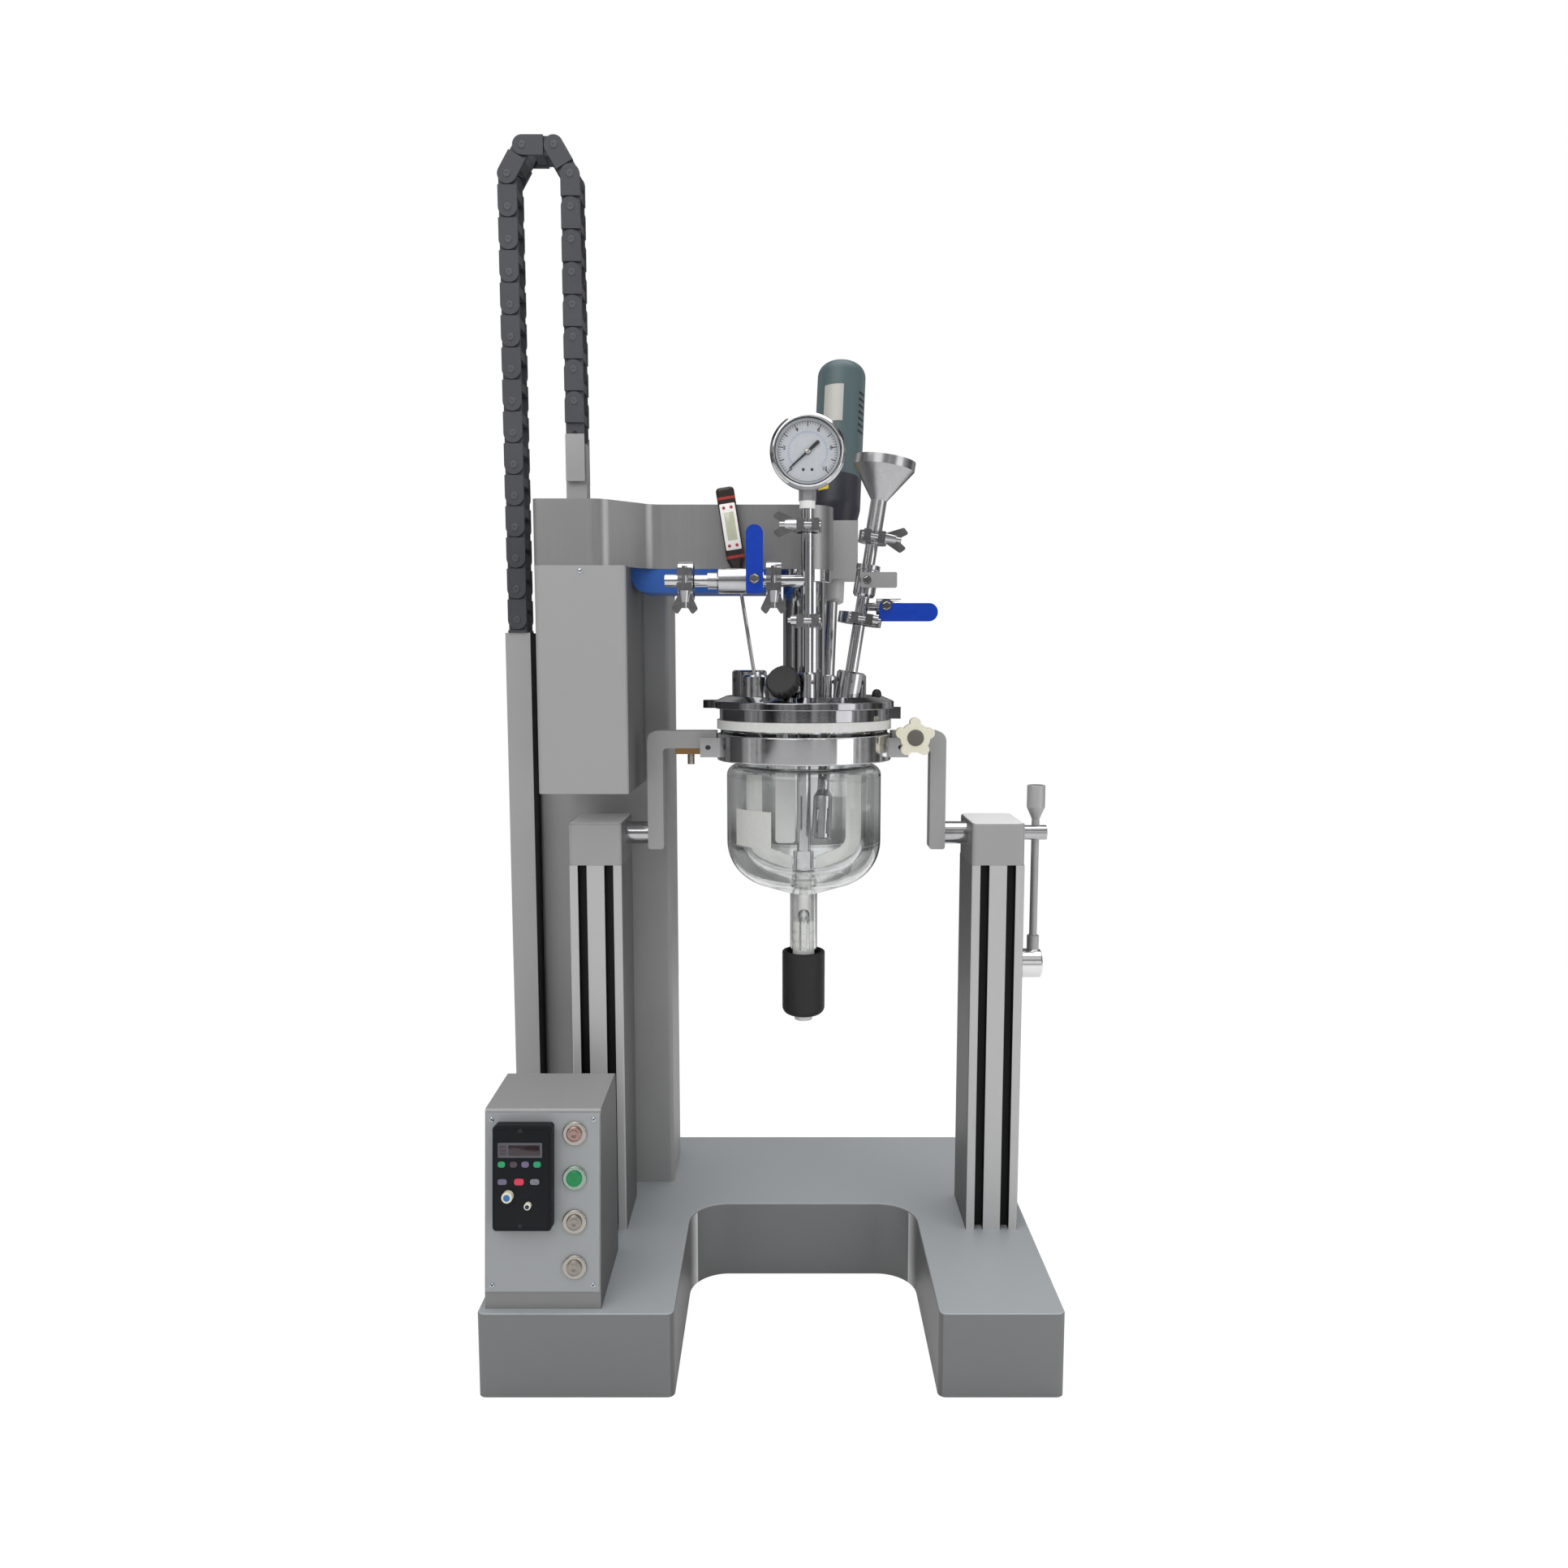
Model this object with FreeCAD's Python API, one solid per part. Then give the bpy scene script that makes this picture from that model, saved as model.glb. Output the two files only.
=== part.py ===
import FreeCAD, Part
import math
import os

# Vacuum emulsifying mixer, millimetres, +Z up.
# The origin is the centre of the base's underside, -Y is the front and +X is the right.

V = FreeCAD.Vector
UP = V(0, 0, 1)
RIGHT = V(1, 0, 0)
BACK = V(0, 1, 0)
ORIGIN = V(0, 0, 0)

# Fits
RUN = 0.05          # radial running clearance of shafts and pins
SLIDE = 0.25        # clearance of flat guides
GAP = 0.3           # clearance between parts that pass each other
HIDDEN = 1.0        # extra length of every cutting tool

# Base
BASE_LENGTH = 600.0
BASE_DEPTH = 440.0
BASE_HEIGHT = 90.0
BASE_SHEET = 3.0
BASE_CORNER = 8.0
BASE_EDGE = 2.0
NOTCH_WIDTH = 270.0
NOTCH_BACK = 20.0
NOTCH_CORNER = 45.0
FRAME_PLATE = 8.0
FRAME_TUBE = 50.0
FRAME_WALL = 4.0

# Vessel axis and glass
VESSEL_X = 36.0
INNER_R = 69.0
GLASS_WALL = 3.0
JACKET_R = 89.0
VESSEL_BOTTOM = 493.0
JACKET_GAP = 11.0
BOTTOM_ROUND = 38.0
BOTTOM_DISH = 30.0
SEAT_THICKNESS = 8.0
SHOULDER_Z = 632.0
SHOULDER_ROUND = 12.0
FLANGE_R = 96.0
FLANGE_BOTTOM = 642.0
FLANGE_TOP = 674.0
GASKET_R = 100.0
GASKET_THICKNESS = 10.0
NECK_R = 15.75
NECK_BORE = 12.75
NECK_BOTTOM = 385.0
SEAT_BORE = 10.05
SPOUT_R = 6.5
SPOUT_BORE = 4.0
SPOUT_Z = 458.0
SPOUT_REACH = 28.0
SPOUT_END = 420.0
SPOUT_BEND = 8.0
NIPPLE_R = 6.0
NIPPLE_BORE = 3.5
NIPPLE_REACH = 118.0
NIPPLE_LOW = 568.0
NIPPLE_HIGH = 606.0

# Drain valve
GRIP_R = 25.0
GRIP_BOTTOM = 336.0
GRIP_TOP = 412.0
GRIP_FLOOR = 14.0
TIP_R = 10.5
TIP_BOTTOM = 329.0
PLUG_TRAVEL = 12.0
PLUG_STEM_R = 6.0
PLUG_GROOVES = (422.0, 434.0)
PLUG_GROOVE = 4.0
PLUG_GROOVE_DEPTH = 1.5
GRIP_SEAT = 5.0

# Ring clamp round the glass flange
RING_R = 100.0
RING_BOTTOM = 638.0
RING_TOP = 668.0
RING_LIP_R = 90.0
LUG_REACH = 118.0
LUG_HALF_DEPTH = 28.0
LUG_MARGIN = 4.0
LUG_HOLE_R = 3.0

# Posts, heads, trunnions and brackets
POST_WIDTH = 60.0
POST_DEPTH = 90.0
POST_LEFT_X = -200.0
POST_RIGHT_X = 255.0
POST_TOP = 521.0
HEAD_TOP = 569.0
SLOT_WIDTH = 10.0
SLOT_DEPTH = 12.0
SLOT_SPACING = 30.0
TRUNNION_Z = 552.0
TRUNNION_R = 13.0
STUB_R = 8.5
STUB_END = 318.0
BRACKET_THICKNESS = 18.0
BRACKET_DEPTH = 24.0
BRACKET_BOTTOM = 534.0
BRACKET_TOP = 671.0
BRACKET_LEFT_X = -144.0
BRACKET_RIGHT_X = 199.0
BRACKET_SHELF = 20.0
BRACKET_ROUND = 12.0
LATCH_THICKNESS = 7.0
LATCH_START = 14.0
LATCH_LENGTH = 35.0
LATCH_HALF = 8.0
LATCH_BOLT_R = 4.0
LATCH_BOLT_DROP = 12.0
STAR_X = 160.0
STAR_R = 22.5
STAR_FRONT = -43.0
STAR_BACK = -29.0
STAR_LOBES = 5
STAR_STUD_R = 4.0
STAR_Z = 665.0
STAR_SEAT = 10.0
LOCK_Y = 14.0
LOCK_Z = 393.0
LOCK_HUB_R = 17.25
LOCK_HUB_LENGTH = 32.5
LOCK_ROD_OFFSET = 23.5
LOCK_PIN_R = 6.0
LOCK_PIN_LENGTH = 28.0
LOCK_ROD_R = 4.5
LOCK_COLLAR_Z = 427.0
LOCK_GRIP_BOTTOM = 580.0
LOCK_GRIP_TOP = 606.0
LOCK_GRIP_R = 10.5

# Column, lift and chain carrier
COLUMN_LEFT = -288.0
COLUMN_WIDTH = 161.0
COLUMN_FRONT = 80.0
COLUMN_DEPTH = 100.0
COLUMN_TOP = 832.0
COLUMN_WALL = 3.0
COLUMN_ROUND = 14.0
COLLAR_TOP = 840.0
COLLAR_LENGTH = 60.0
RAM_WIDTH = 90.0
RAM_DEPTH = 60.0
RAM_WALL = 5.0
RAM_BOTTOM = 390.0
ACTUATOR_R = 20.0
ACTUATOR_BORE = 16.0
ACTUATOR_TOP = 540.0
GLAND_LENGTH = 20.0
ROD_R = 10.0
PISTON_BOTTOM = 200.0
PISTON_LENGTH = 20.0
SUPPORT_WIDTH = 30.0
SUPPORT_DEPTH = 60.0
SUPPORT_FRONT = 50.0
SUPPORT_TOP = 784.0
SUPPORT_WALL = 3.0

# Energy chain
PITCH = 36.0
CHAIN_X = -303.0
CHAIN_FRONT = 48.0
CHAIN_WIDTH = 38.0
CHAIN_FIRST_Z = 799.0
FIXED_LINKS = 14
MOVING_LINKS = 5
LOBE_R = 11.0
TONGUE_R = 10.5
LINK_PLATE = 3.0
LINK_PIN_R = 3.0
BLOCK_START = 12.0
BLOCK_LENGTH = 12.0
BAR_INSET = 1.0
BAR_THICKNESS = 2.5
LOOP_BENDS = (30.0, 60.0, 60.0, 30.0)
POST_TOP_DROP = 11.0
EAR_DROP = 1.0

# Arm and drive box
ARM_BOTTOM = 852.0
ARM_TOP = 922.0
ARM_WALL = 3.0
ARM_HALF = 33.0
BOX_LEFT = -255.0
BOX_RIGHT = -156.0
BOX_FRONT = -80.0
BOX_BACK = 76.0
BOX_BOTTOM = 606.0
BOX_ROUND = 6.0
ARM_BACK = 186.0
ARM_BLOCK_RIGHT = -122.0
S_LEFT = -182.0
S_RIGHT = -132.0
S_ROUND = 25.0
COVER_RIGHT = -4.0
COVER_BOTTOM = 826.0
COVER_ROUND = 16.0

# Stirrer drive
MOTOR_X = -205.0
MOTOR_PULLEY_R = 14.0
SHAFT_PULLEY_R = 26.0
BELT_BOTTOM = 880.0
BELT_WIDTH = 16.0
BELT_THICKNESS = 2.5
MOTOR_R = 38.0
MOTOR_BOTTOM = 660.0
MOTOR_SHAFT_R = 5.0
SHAFT_R = 8.0
TUBE_R = 24.0
TUBE_FLANGE_R = 32.5
TUBE_FLANGE = 14.0
TUBE_BORE = 16.0
LAND = 14.0

# Lid and its ports
LID_BAND_R = 97.0
LID_FLANGE_R = 103.0
LID_BAND_TOP = 697.0
LID_TOP = 711.0
LID_RIM_TOP = 705.0
LID_SLOPE_R = 89.0
LID_RECESS_R = 66.0
LID_RECESS_TOP = 700.0
SHAFT_HOLE = 10.0
TAB_REACH = 13.0
TAB_HALF = 9.0
TAB_HEIGHT = 9.0
LUG_SIDE_REACH = 8.0
BAFFLE_NEAR = 10.0
BAFFLE_FAR = 33.0
BAFFLE_BOTTOM = 540.0
BAFFLE_TOP = 638.0
BAFFLE_THICKNESS = 3.0
BAFFLE_ROD_R = 3.0
NUT_WALL = 4.0
TOMMY_R = 2.4
PLUG_PORT = (-27.0, 10.0, 20.0, 29.0)
PROBE_PORT = (-16.0, -46.0, 17.5, 24.0)
GAUGE_PORT = (38.0, -72.0, 12.0, 27.0)
FEED_PORT = (85.0, -20.0, 16.0, 28.0)
STEM_PORT = (64.0, 24.0, 11.5, 22.0)
SPARE_PORT = (96.0, 22.0, 13.0, 24.0)

# Stirrer in the vessel
FRAME_HALF = 60.0
FRAME_BAR = 8.0
FRAME_THICK = 5.0
FRAME_TOP = 628.0
FRAME_BOTTOM = 506.0
FRAME_ROUND = 30.0
BLADE_REACH = 66.5
BLADE_WIDTH = 18.0
BLADE_THICK = 3.0
BLADE_TOP = 622.0
BLADE_BOTTOM = 498.5
BLADE_MIDDLE = 14.0
FRAME_HUB_R = 12.0
FRAME_HUB = 24.0

# Homogenizer on its leaning axis
LEAN = (0.05, 0.236, 1.0)
STATOR_R = 11.0
STATOR_BOTTOM = -168.0
STATOR_LENGTH = 48.0
STATOR_SLOTS = 6
SLOT_HALF = 1.2
STEM_R = 7.0
ROTOR_SHAFT_R = 3.0
ROTOR_R = 8.5
ROTOR_HEIGHT = 14.0
NOSE_R = 14.0
NOSE_START = 112.0
NOSE_END = 186.0
DRIVE_LOW_R = 21.0
DRIVE_R = 29.0
DRIVE_SHOULDER = 226.0
DRIVE_END = 408.0
DRIVE_ROUND = 16.0
BLOCK_LEFT = 49.0
BLOCK_RIGHT = 99.0
BLOCK_BOTTOM = 846.0
BLOCK_TOP = 878.0
BLOCK_BACK = 84.0
SMALL_BLOCK_LEFT = 64.0
SMALL_BLOCK_BACK = 41.0
SMALL_BLOCK_TOP = 913.0

# Gauge line, vacuum train and feed line
PIPE_R = 7.0
PIPE_BORE = 5.5
TRAIN_Z = 836.0
GAUGE_Z = 970.0
GAUGE_CASE_R = 37.0
BEZEL_OUT = 40.0
GAUGE_BACK = 16.0
GAUGE_FRONT = 16.0
BEZEL_DEPTH = 8.0
DIAL_R = 35.0
DIAL_RECESS = 6.0
HEX_WIDTH = 16.0
HEX_BOTTOM = 920.0
SEAL_BOTTOM = 912.0
SEAL_R = 8.5
NEEDLE_HUB_R = 3.0
NEEDLE_SPINDLE_R = 1.5
NEEDLE_SPINDLE = 6.0
NEEDLE_LENGTH = 26.0
NEEDLE_TAIL = 16.0
CLAMP_RING = 4.0
CLAMP_BOLT_R = 3.0
SWING_BOLT_END = 30.0
SHORT_BOLT_END = 21.0
CLAMP_A = (893.5, 15.5, 13.0)
CLAMP_B = (793.0, 14.5, 14.0)
CLAMP_ONE = (2.0, 21.5, 16.0)
CLAMP_TWO = (-92.0, 20.5, 16.0)
CLAMP_C = (887.0, 16.0, 13.0)
CLAMP_D = (797.0, 24.5, 12.0)
FERRULE_HEIGHT = 3.0
STUB_TIP = -115.0
STUB_LAND_END = -103.0
VALVE_LEFT = -69.0
VALVE_RIGHT = -9.0
VALVE_R = 14.0
LEVER_X = -18.0
LEVER_FRONT = -105.5
LEVER_THICKNESS = 3.0
LEVER_WIDTH = 18.0
LEVER_UP = 56.0
LEVER_DOWN = 15.0
LEVER_STEM_R = 4.0
FEED_SLOPE = 0.155
FEED_VALVE_X = 126.0
FEED_VALVE_R = 9.0
FEED_VALVE_Z = 811.0
FEED_LEVER_DROP = 7.0
BRANCH_R = 4.5
FEED_LEVER_FRONT = -43.5
FEED_LEVER_LEFT = 8.0
FEED_LEVER_RIGHT = 57.0
FEED_LEVER_WIDTH = 20.0
SMALL_VALVE = (822.0, 857.0, 12.5)
PLATE_FRONT = -40.0
PLATE_LEFT = 7.0
PLATE_RIGHT = 33.0
PLATE_WIDTH = 17.0
FUNNEL_NECK_R = 9.0
FUNNEL_NECK_TOP = 928.0
FUNNEL_R = 34.0
FUNNEL_TOP = 973.0
FUNNEL_RIM = 10.0
FUNNEL_WALL = 1.5

# Thermometer
PROBE_LEAN = (-32.0, 0.0, 202.0)
PROBE_R = 2.0
PROBE_LOW = -88.0
HANDLE_START = 136.0
HANDLE_BODY = 152.0
HANDLE_TOP = 230.0
HANDLE_WIDTH = 20.0
HANDLE_DEPTH = 14.0

# Knob on the lid
LID_KNOB = (12.0, -88.0, 728.0)
LID_KNOB_AXIS = (-0.3, -0.8, 0.5)
LID_KNOB_R = 18.0
LID_KNOB_HALF = 6.0
LID_KNOB_RIBS = 18
LID_KNOB_STEM_R = 4.0
LID_KNOB_FOOT = 8.0

# Control box, its sloped panel and what sits on it
CONTROL_LEFT = 7.0 - BASE_LENGTH / 2
CONTROL_WIDTH = 119.0
CONTROL_TOE = 10.0 - BASE_DEPTH / 2
CONTROL_TOE_TOP = 108.0
CONTROL_SHOULDER = CONTROL_TOE + 20.0
CONTROL_SHOULDER_TOP = 294.0
CONTROL_BACK = CONTROL_SHOULDER + 100.0
CONTROL_BACK_TOP = 296.0
CONTROL_WALL = 2.5
PANEL_MARGIN = 1.5
PANEL_THICKNESS = 2.0
BUTTON_OFFSET = 92.3
BUTTON_ROWS = (24.0, 69.4, 114.0, 160.2)
BEZEL_R = 12.3
BEZEL_HEIGHT = 3.0
CAP_R = 8.0
CAP_HEIGHT = 2.5
CAP_REAR = 12.0
INVERTER_LEFT = 11.7
INVERTER_WIDTH = 59.7
INVERTER_START = 12.4
INVERTER_LENGTH = 106.2
INVERTER_HEIGHT = 14.0
INVERTER_ROUND = 4.0
SPEED_KNOB = (27.9, 82.6, 5.5, 8.0)
TRIM_KNOB = (48.0, 92.2, 3.5, 6.0)
KNOB_STEM_R = 3.0
KNOB_STEM = 8.0


# Helpers
def box(x0, x1, y0, y1, z0, z1):
    return Part.makeBox(x1 - x0, y1 - y0, z1 - z0, V(x0, y0, z0))


def cylinder(radius, start, end):
    return Part.makeCylinder(radius, (end - start).Length, start, end - start)


def cone(radius_start, radius_end, start, end):
    return Part.makeCone(radius_start, radius_end, (end - start).Length, start, end - start)


def longer(start, end):
    """The same line, a little longer at both ends, for a cutting tool."""
    step = (end - start).normalize() * HIDDEN
    return start - step, end + step


def bore(radius, start, end):
    first, last = longer(start, end)
    return cylinder(radius, first, last)


def pipe(radius, inner, start, end):
    return cylinder(radius, start, end).cut(bore(inner, start, end))


def plan(z):
    return lambda u, v: V(u, v, z)


def front(y):
    return lambda u, v: V(u, y, v)


def side(x):
    return lambda u, v: V(x, u, v)


def outline(corners, place):
    """Closed wire through corners (u, v, radius), each rounded by a tangent arc."""
    edges = []
    arcs = []
    count = len(corners)
    for i in range(count):
        u, v, radius = corners[i]
        corner = V(u, v, 0)
        before = (V(corners[i - 1][0], corners[i - 1][1], 0) - corner).normalize()
        after = (V(corners[(i + 1) % count][0], corners[(i + 1) % count][1], 0) - corner).normalize()
        half = before.getAngle(after) / 2
        reach = radius / math.tan(half)
        first = corner + before * reach
        last = corner + after * reach
        bisector = (before + after).normalize() if radius > 0 else before
        middle = corner + bisector * (radius / math.sin(half) - radius)
        arcs.append((first, middle, last, radius))
    for i in range(count):
        first, middle, last, radius = arcs[i]
        if radius > 0:
            arc = Part.Arc(place(first.x, first.y), place(middle.x, middle.y), place(last.x, last.y))
            edges.append(arc.toShape())
        following = arcs[(i + 1) % count][0]
        if (following - last).Length > 0.001:
            edges.append(Part.LineSegment(place(last.x, last.y), place(following.x, following.y)).toShape())
    return Part.Wire(edges)


def prism(corners, place, push):
    return Part.Face(outline(corners, place)).extrude(push)


def rectangle(u0, u1, v0, v1, radius=0.0):
    return [(u0, v0, radius), (u1, v0, radius), (u1, v1, radius), (u0, v1, radius)]


def revolved(corners, x=0.0, y=0.0):
    """Solid of revolution about the vertical through (x, y) from corners (r, z, radius)."""
    face = Part.Face(outline(corners, lambda r, z: V(x + r, y, z)))
    return face.revolve(V(x, y, 0), UP, 360)


def turned(points, start, direction):
    """Solid of revolution of plain points (r, h) about the line from start along direction."""
    corners = [(r, h, 0) for r, h in points]
    solid = revolved(corners)
    solid.Placement = FreeCAD.Placement(start, FreeCAD.Rotation(UP, direction))
    return solid


def closed_housing(corners, place, push, wall):
    """Sheet housing, its outline pushed along one direction, with the same wall all round."""
    face = Part.Face(outline(corners, place))
    inside = face.makeOffset2D(-wall)
    unit = V(push).normalize()
    inside.translate(unit * wall)
    return face.extrude(push).cut(inside.extrude(unit * (push.Length - 2 * wall)))


def in_frame(shape, origin, z_axis, x_axis):
    """Moves a shape drawn at the origin so that its Z and X run along the given directions."""
    z = V(z_axis).normalize()
    y = z.cross(x_axis).normalize()
    x = y.cross(z)
    first = (x.x, y.x, z.x, origin.x)
    second = (x.y, y.y, z.y, origin.y)
    third = (x.z, y.z, z.z, origin.z)
    return shape.transformed(FreeCAD.Matrix(*first, *second, *third, 0, 0, 0, 1))


def fused(shapes):
    return shapes[0].multiFuse(shapes[1:]).removeSplitter()


PARTS = {}


def keep(name, *solids):
    PARTS[name] = solids[0] if len(solids) == 1 else Part.makeCompound(list(solids))


# Base
def base_corners(inset):
    side_x = BASE_LENGTH / 2 - inset
    side_y = BASE_DEPTH / 2 - inset
    notch_left = VESSEL_X - NOTCH_WIDTH / 2 - inset
    notch_right = VESSEL_X + NOTCH_WIDTH / 2 + inset
    notch_back = NOTCH_BACK + inset
    round_out = BASE_CORNER - inset
    round_in = NOTCH_CORNER + inset
    return [
        (-side_x, -side_y, round_out), (notch_left, -side_y, round_out),
        (notch_left, notch_back, round_in), (notch_right, notch_back, round_in),
        (notch_right, -side_y, round_out), (side_x, -side_y, round_out),
        (side_x, side_y, round_out), (-side_x, side_y, round_out)]


def make_base_cover():
    outer = prism(base_corners(0), plan(0), UP * BASE_HEIGHT)
    top_edges = [edge for edge in outer.Edges if edge.BoundBox.ZMin > BASE_HEIGHT - 0.01]
    outer = outer.makeFillet(BASE_EDGE, top_edges)
    inner = prism(base_corners(BASE_SHEET), plan(-HIDDEN), UP * (BASE_HEIGHT - BASE_SHEET + HIDDEN))
    return outer.cut(inner)


def frame_tube(x0, x1, y0, y1):
    top = BASE_HEIGHT - BASE_SHEET
    outer = box(x0, x1, y0, y1, FRAME_PLATE, top)
    along_y = (y1 - y0) > (x1 - x0)
    wall = FRAME_WALL
    if along_y:
        inner = box(x0 + wall, x1 - wall, y0 - HIDDEN, y1 + HIDDEN, FRAME_PLATE + wall, top - wall)
    else:
        inner = box(x0 - HIDDEN, x1 + HIDDEN, y0 + wall, y1 - wall, FRAME_PLATE + wall, top - wall)
    return outer.cut(inner)


def make_base_frame():
    inset = BASE_SHEET + GAP
    plate = prism(base_corners(inset), plan(0), UP * FRAME_PLATE)
    end = BASE_DEPTH / 2 - inset - FRAME_TUBE / 2
    rear = COLUMN_FRONT + COLUMN_DEPTH / 2
    half = FRAME_TUBE / 2
    reach = BASE_LENGTH / 2 - inset - half
    tubes = [frame_tube(x - half, x + half, -end, rear - half) for x in (POST_LEFT_X, POST_RIGHT_X)]
    tubes.append(frame_tube(-reach, reach, rear - half, rear + half))
    return fused([plate] + tubes)


# Posts, heads, trunnions, brackets
def make_post(x):
    half_width = POST_WIDTH / 2
    half_depth = POST_DEPTH / 2
    bar = prism(rectangle(x - half_width, x + half_width, -half_depth, half_depth, 2.0),
                plan(BASE_HEIGHT), UP * (POST_TOP - BASE_HEIGHT))
    for face_y in (-half_depth, half_depth):
        for offset in (-SLOT_SPACING / 2, SLOT_SPACING / 2):
            left = x + offset - SLOT_WIDTH / 2
            bar = bar.cut(box(left, left + SLOT_WIDTH, face_y - SLOT_DEPTH, face_y + SLOT_DEPTH,
                              BASE_HEIGHT - HIDDEN, POST_TOP + HIDDEN))
    if x > VESSEL_X:
        bar = bar.cut(bore(LOCK_PIN_R + RUN, V(x, LOCK_Y, LOCK_Z), V(x + half_width, LOCK_Y, LOCK_Z)))
    return bar


def make_post_head(x):
    half_width = POST_WIDTH / 2
    half_depth = POST_DEPTH / 2
    head = prism(rectangle(x - half_width, x + half_width, -half_depth, half_depth, 6.0),
                 plan(POST_TOP), UP * (HEAD_TOP - POST_TOP))
    top_edges = [edge for edge in head.Edges if edge.BoundBox.ZMin > HEAD_TOP - 0.01]
    head = head.makeFillet(3.0, top_edges)
    hole = bore(TRUNNION_R + RUN, V(x - half_width, 0, TRUNNION_Z), V(x + half_width, 0, TRUNNION_Z))
    return head.cut(hole)


def make_bracket(sign):
    outer = BRACKET_LEFT_X if sign < 0 else BRACKET_RIGHT_X
    inner = outer - sign * BRACKET_THICKNESS
    end = VESSEL_X + sign * (RING_R + GAP)
    shelf = BRACKET_TOP - BRACKET_SHELF
    corners = [
        (outer, BRACKET_BOTTOM, 3.0), (outer, BRACKET_TOP, BRACKET_ROUND), (end, BRACKET_TOP, 0),
        (end, shelf, 0), (inner, shelf, 5.0), (inner, BRACKET_BOTTOM, 3.0)]
    bracket = prism(corners, front(-BRACKET_DEPTH / 2), BACK * BRACKET_DEPTH)
    if sign > 0:
        face_y = -BRACKET_DEPTH / 2
        seat = V(STAR_X, face_y + STAR_SEAT, STAR_Z)
        bracket = bracket.cut(bore(STAR_STUD_R + RUN, V(STAR_X, face_y, STAR_Z), seat))
    return bracket


def make_trunnion_shafts():
    left_end = POST_LEFT_X - POST_WIDTH / 2
    left = cylinder(TRUNNION_R, V(left_end, 0, TRUNNION_Z), V(BRACKET_LEFT_X, 0, TRUNNION_Z))
    head_end = POST_RIGHT_X + POST_WIDTH / 2
    right = cylinder(TRUNNION_R, V(BRACKET_RIGHT_X, 0, TRUNNION_Z), V(head_end, 0, TRUNNION_Z))
    stub = cylinder(STUB_R, V(head_end, 0, TRUNNION_Z), V(STUB_END, 0, TRUNNION_Z))
    return left, fused([right, stub])


def make_latch():
    """Bronze strip under the left bracket's shelf, with the bolt that holds it."""
    top = BRACKET_TOP - BRACKET_SHELF
    bottom = top - LATCH_THICKNESS
    start = BRACKET_LEFT_X + BRACKET_THICKNESS + LATCH_START
    middle = start + LATCH_LENGTH / 2
    strip = box(start, start + LATCH_LENGTH, -LATCH_HALF, LATCH_HALF, bottom, top)
    bolt = cylinder(LATCH_BOLT_R, V(middle, 0, bottom - LATCH_BOLT_DROP), V(middle, 0, bottom))
    return strip, bolt


# Glass vessel, gasket and ring clamp
def make_ring_clamp():
    inner = FLANGE_R + GAP
    band = revolved([
        (inner, RING_TOP, 0), (RING_R, RING_TOP, 1.5), (RING_R, RING_BOTTOM, 1.5),
        (RING_LIP_R, RING_BOTTOM, 0), (RING_LIP_R, FLANGE_BOTTOM, 0), (inner, FLANGE_BOTTOM, 0)], VESSEL_X)
    low = RING_BOTTOM + LUG_MARGIN
    high = RING_TOP - LUG_MARGIN
    slot = BRACKET_DEPTH / 2 + GAP
    shapes = [band]
    for sign in (-1, 1):
        near = VESSEL_X + sign * (inner - 2)
        far = VESSEL_X + sign * LUG_REACH
        lug = box(min(near, far), max(near, far), -LUG_HALF_DEPTH, LUG_HALF_DEPTH, low, high)
        channel_near = VESSEL_X + sign * (RING_R + GAP)
        channel_far = far + sign * HIDDEN
        lug = lug.cut(box(min(channel_near, channel_far), max(channel_near, channel_far),
                          -slot, slot, low - HIDDEN, high + HIDDEN))
        hole_x = VESSEL_X + sign * (RING_R + LUG_REACH) / 2
        hole_z = (low + high) / 2
        hole = bore(LUG_HOLE_R, V(hole_x, -LUG_HALF_DEPTH, hole_z), V(hole_x, LUG_HALF_DEPTH, hole_z))
        lug = lug.cut(hole)
        shapes.append(lug)
    clear = bore(inner, V(VESSEL_X, 0, FLANGE_BOTTOM + HIDDEN), V(VESSEL_X, 0, RING_TOP))
    return fused(shapes).cut(clear)


def spout(radius, end):
    corner = SPOUT_REACH - SPOUT_BEND
    start = V(VESSEL_X, 0, SPOUT_Z)
    turn = V(VESSEL_X, -corner, SPOUT_Z)
    level = cylinder(radius, start, turn)
    section = Part.Face(Part.Wire(Part.makeCircle(radius, turn, BACK)))
    bend = section.revolve(V(VESSEL_X, -corner, SPOUT_Z - SPOUT_BEND), RIGHT, 90)
    low = V(VESSEL_X, -SPOUT_REACH, SPOUT_Z - SPOUT_BEND)
    drop = cylinder(radius, low, V(VESSEL_X, -SPOUT_REACH, end))
    return [level, bend, drop]


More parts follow.
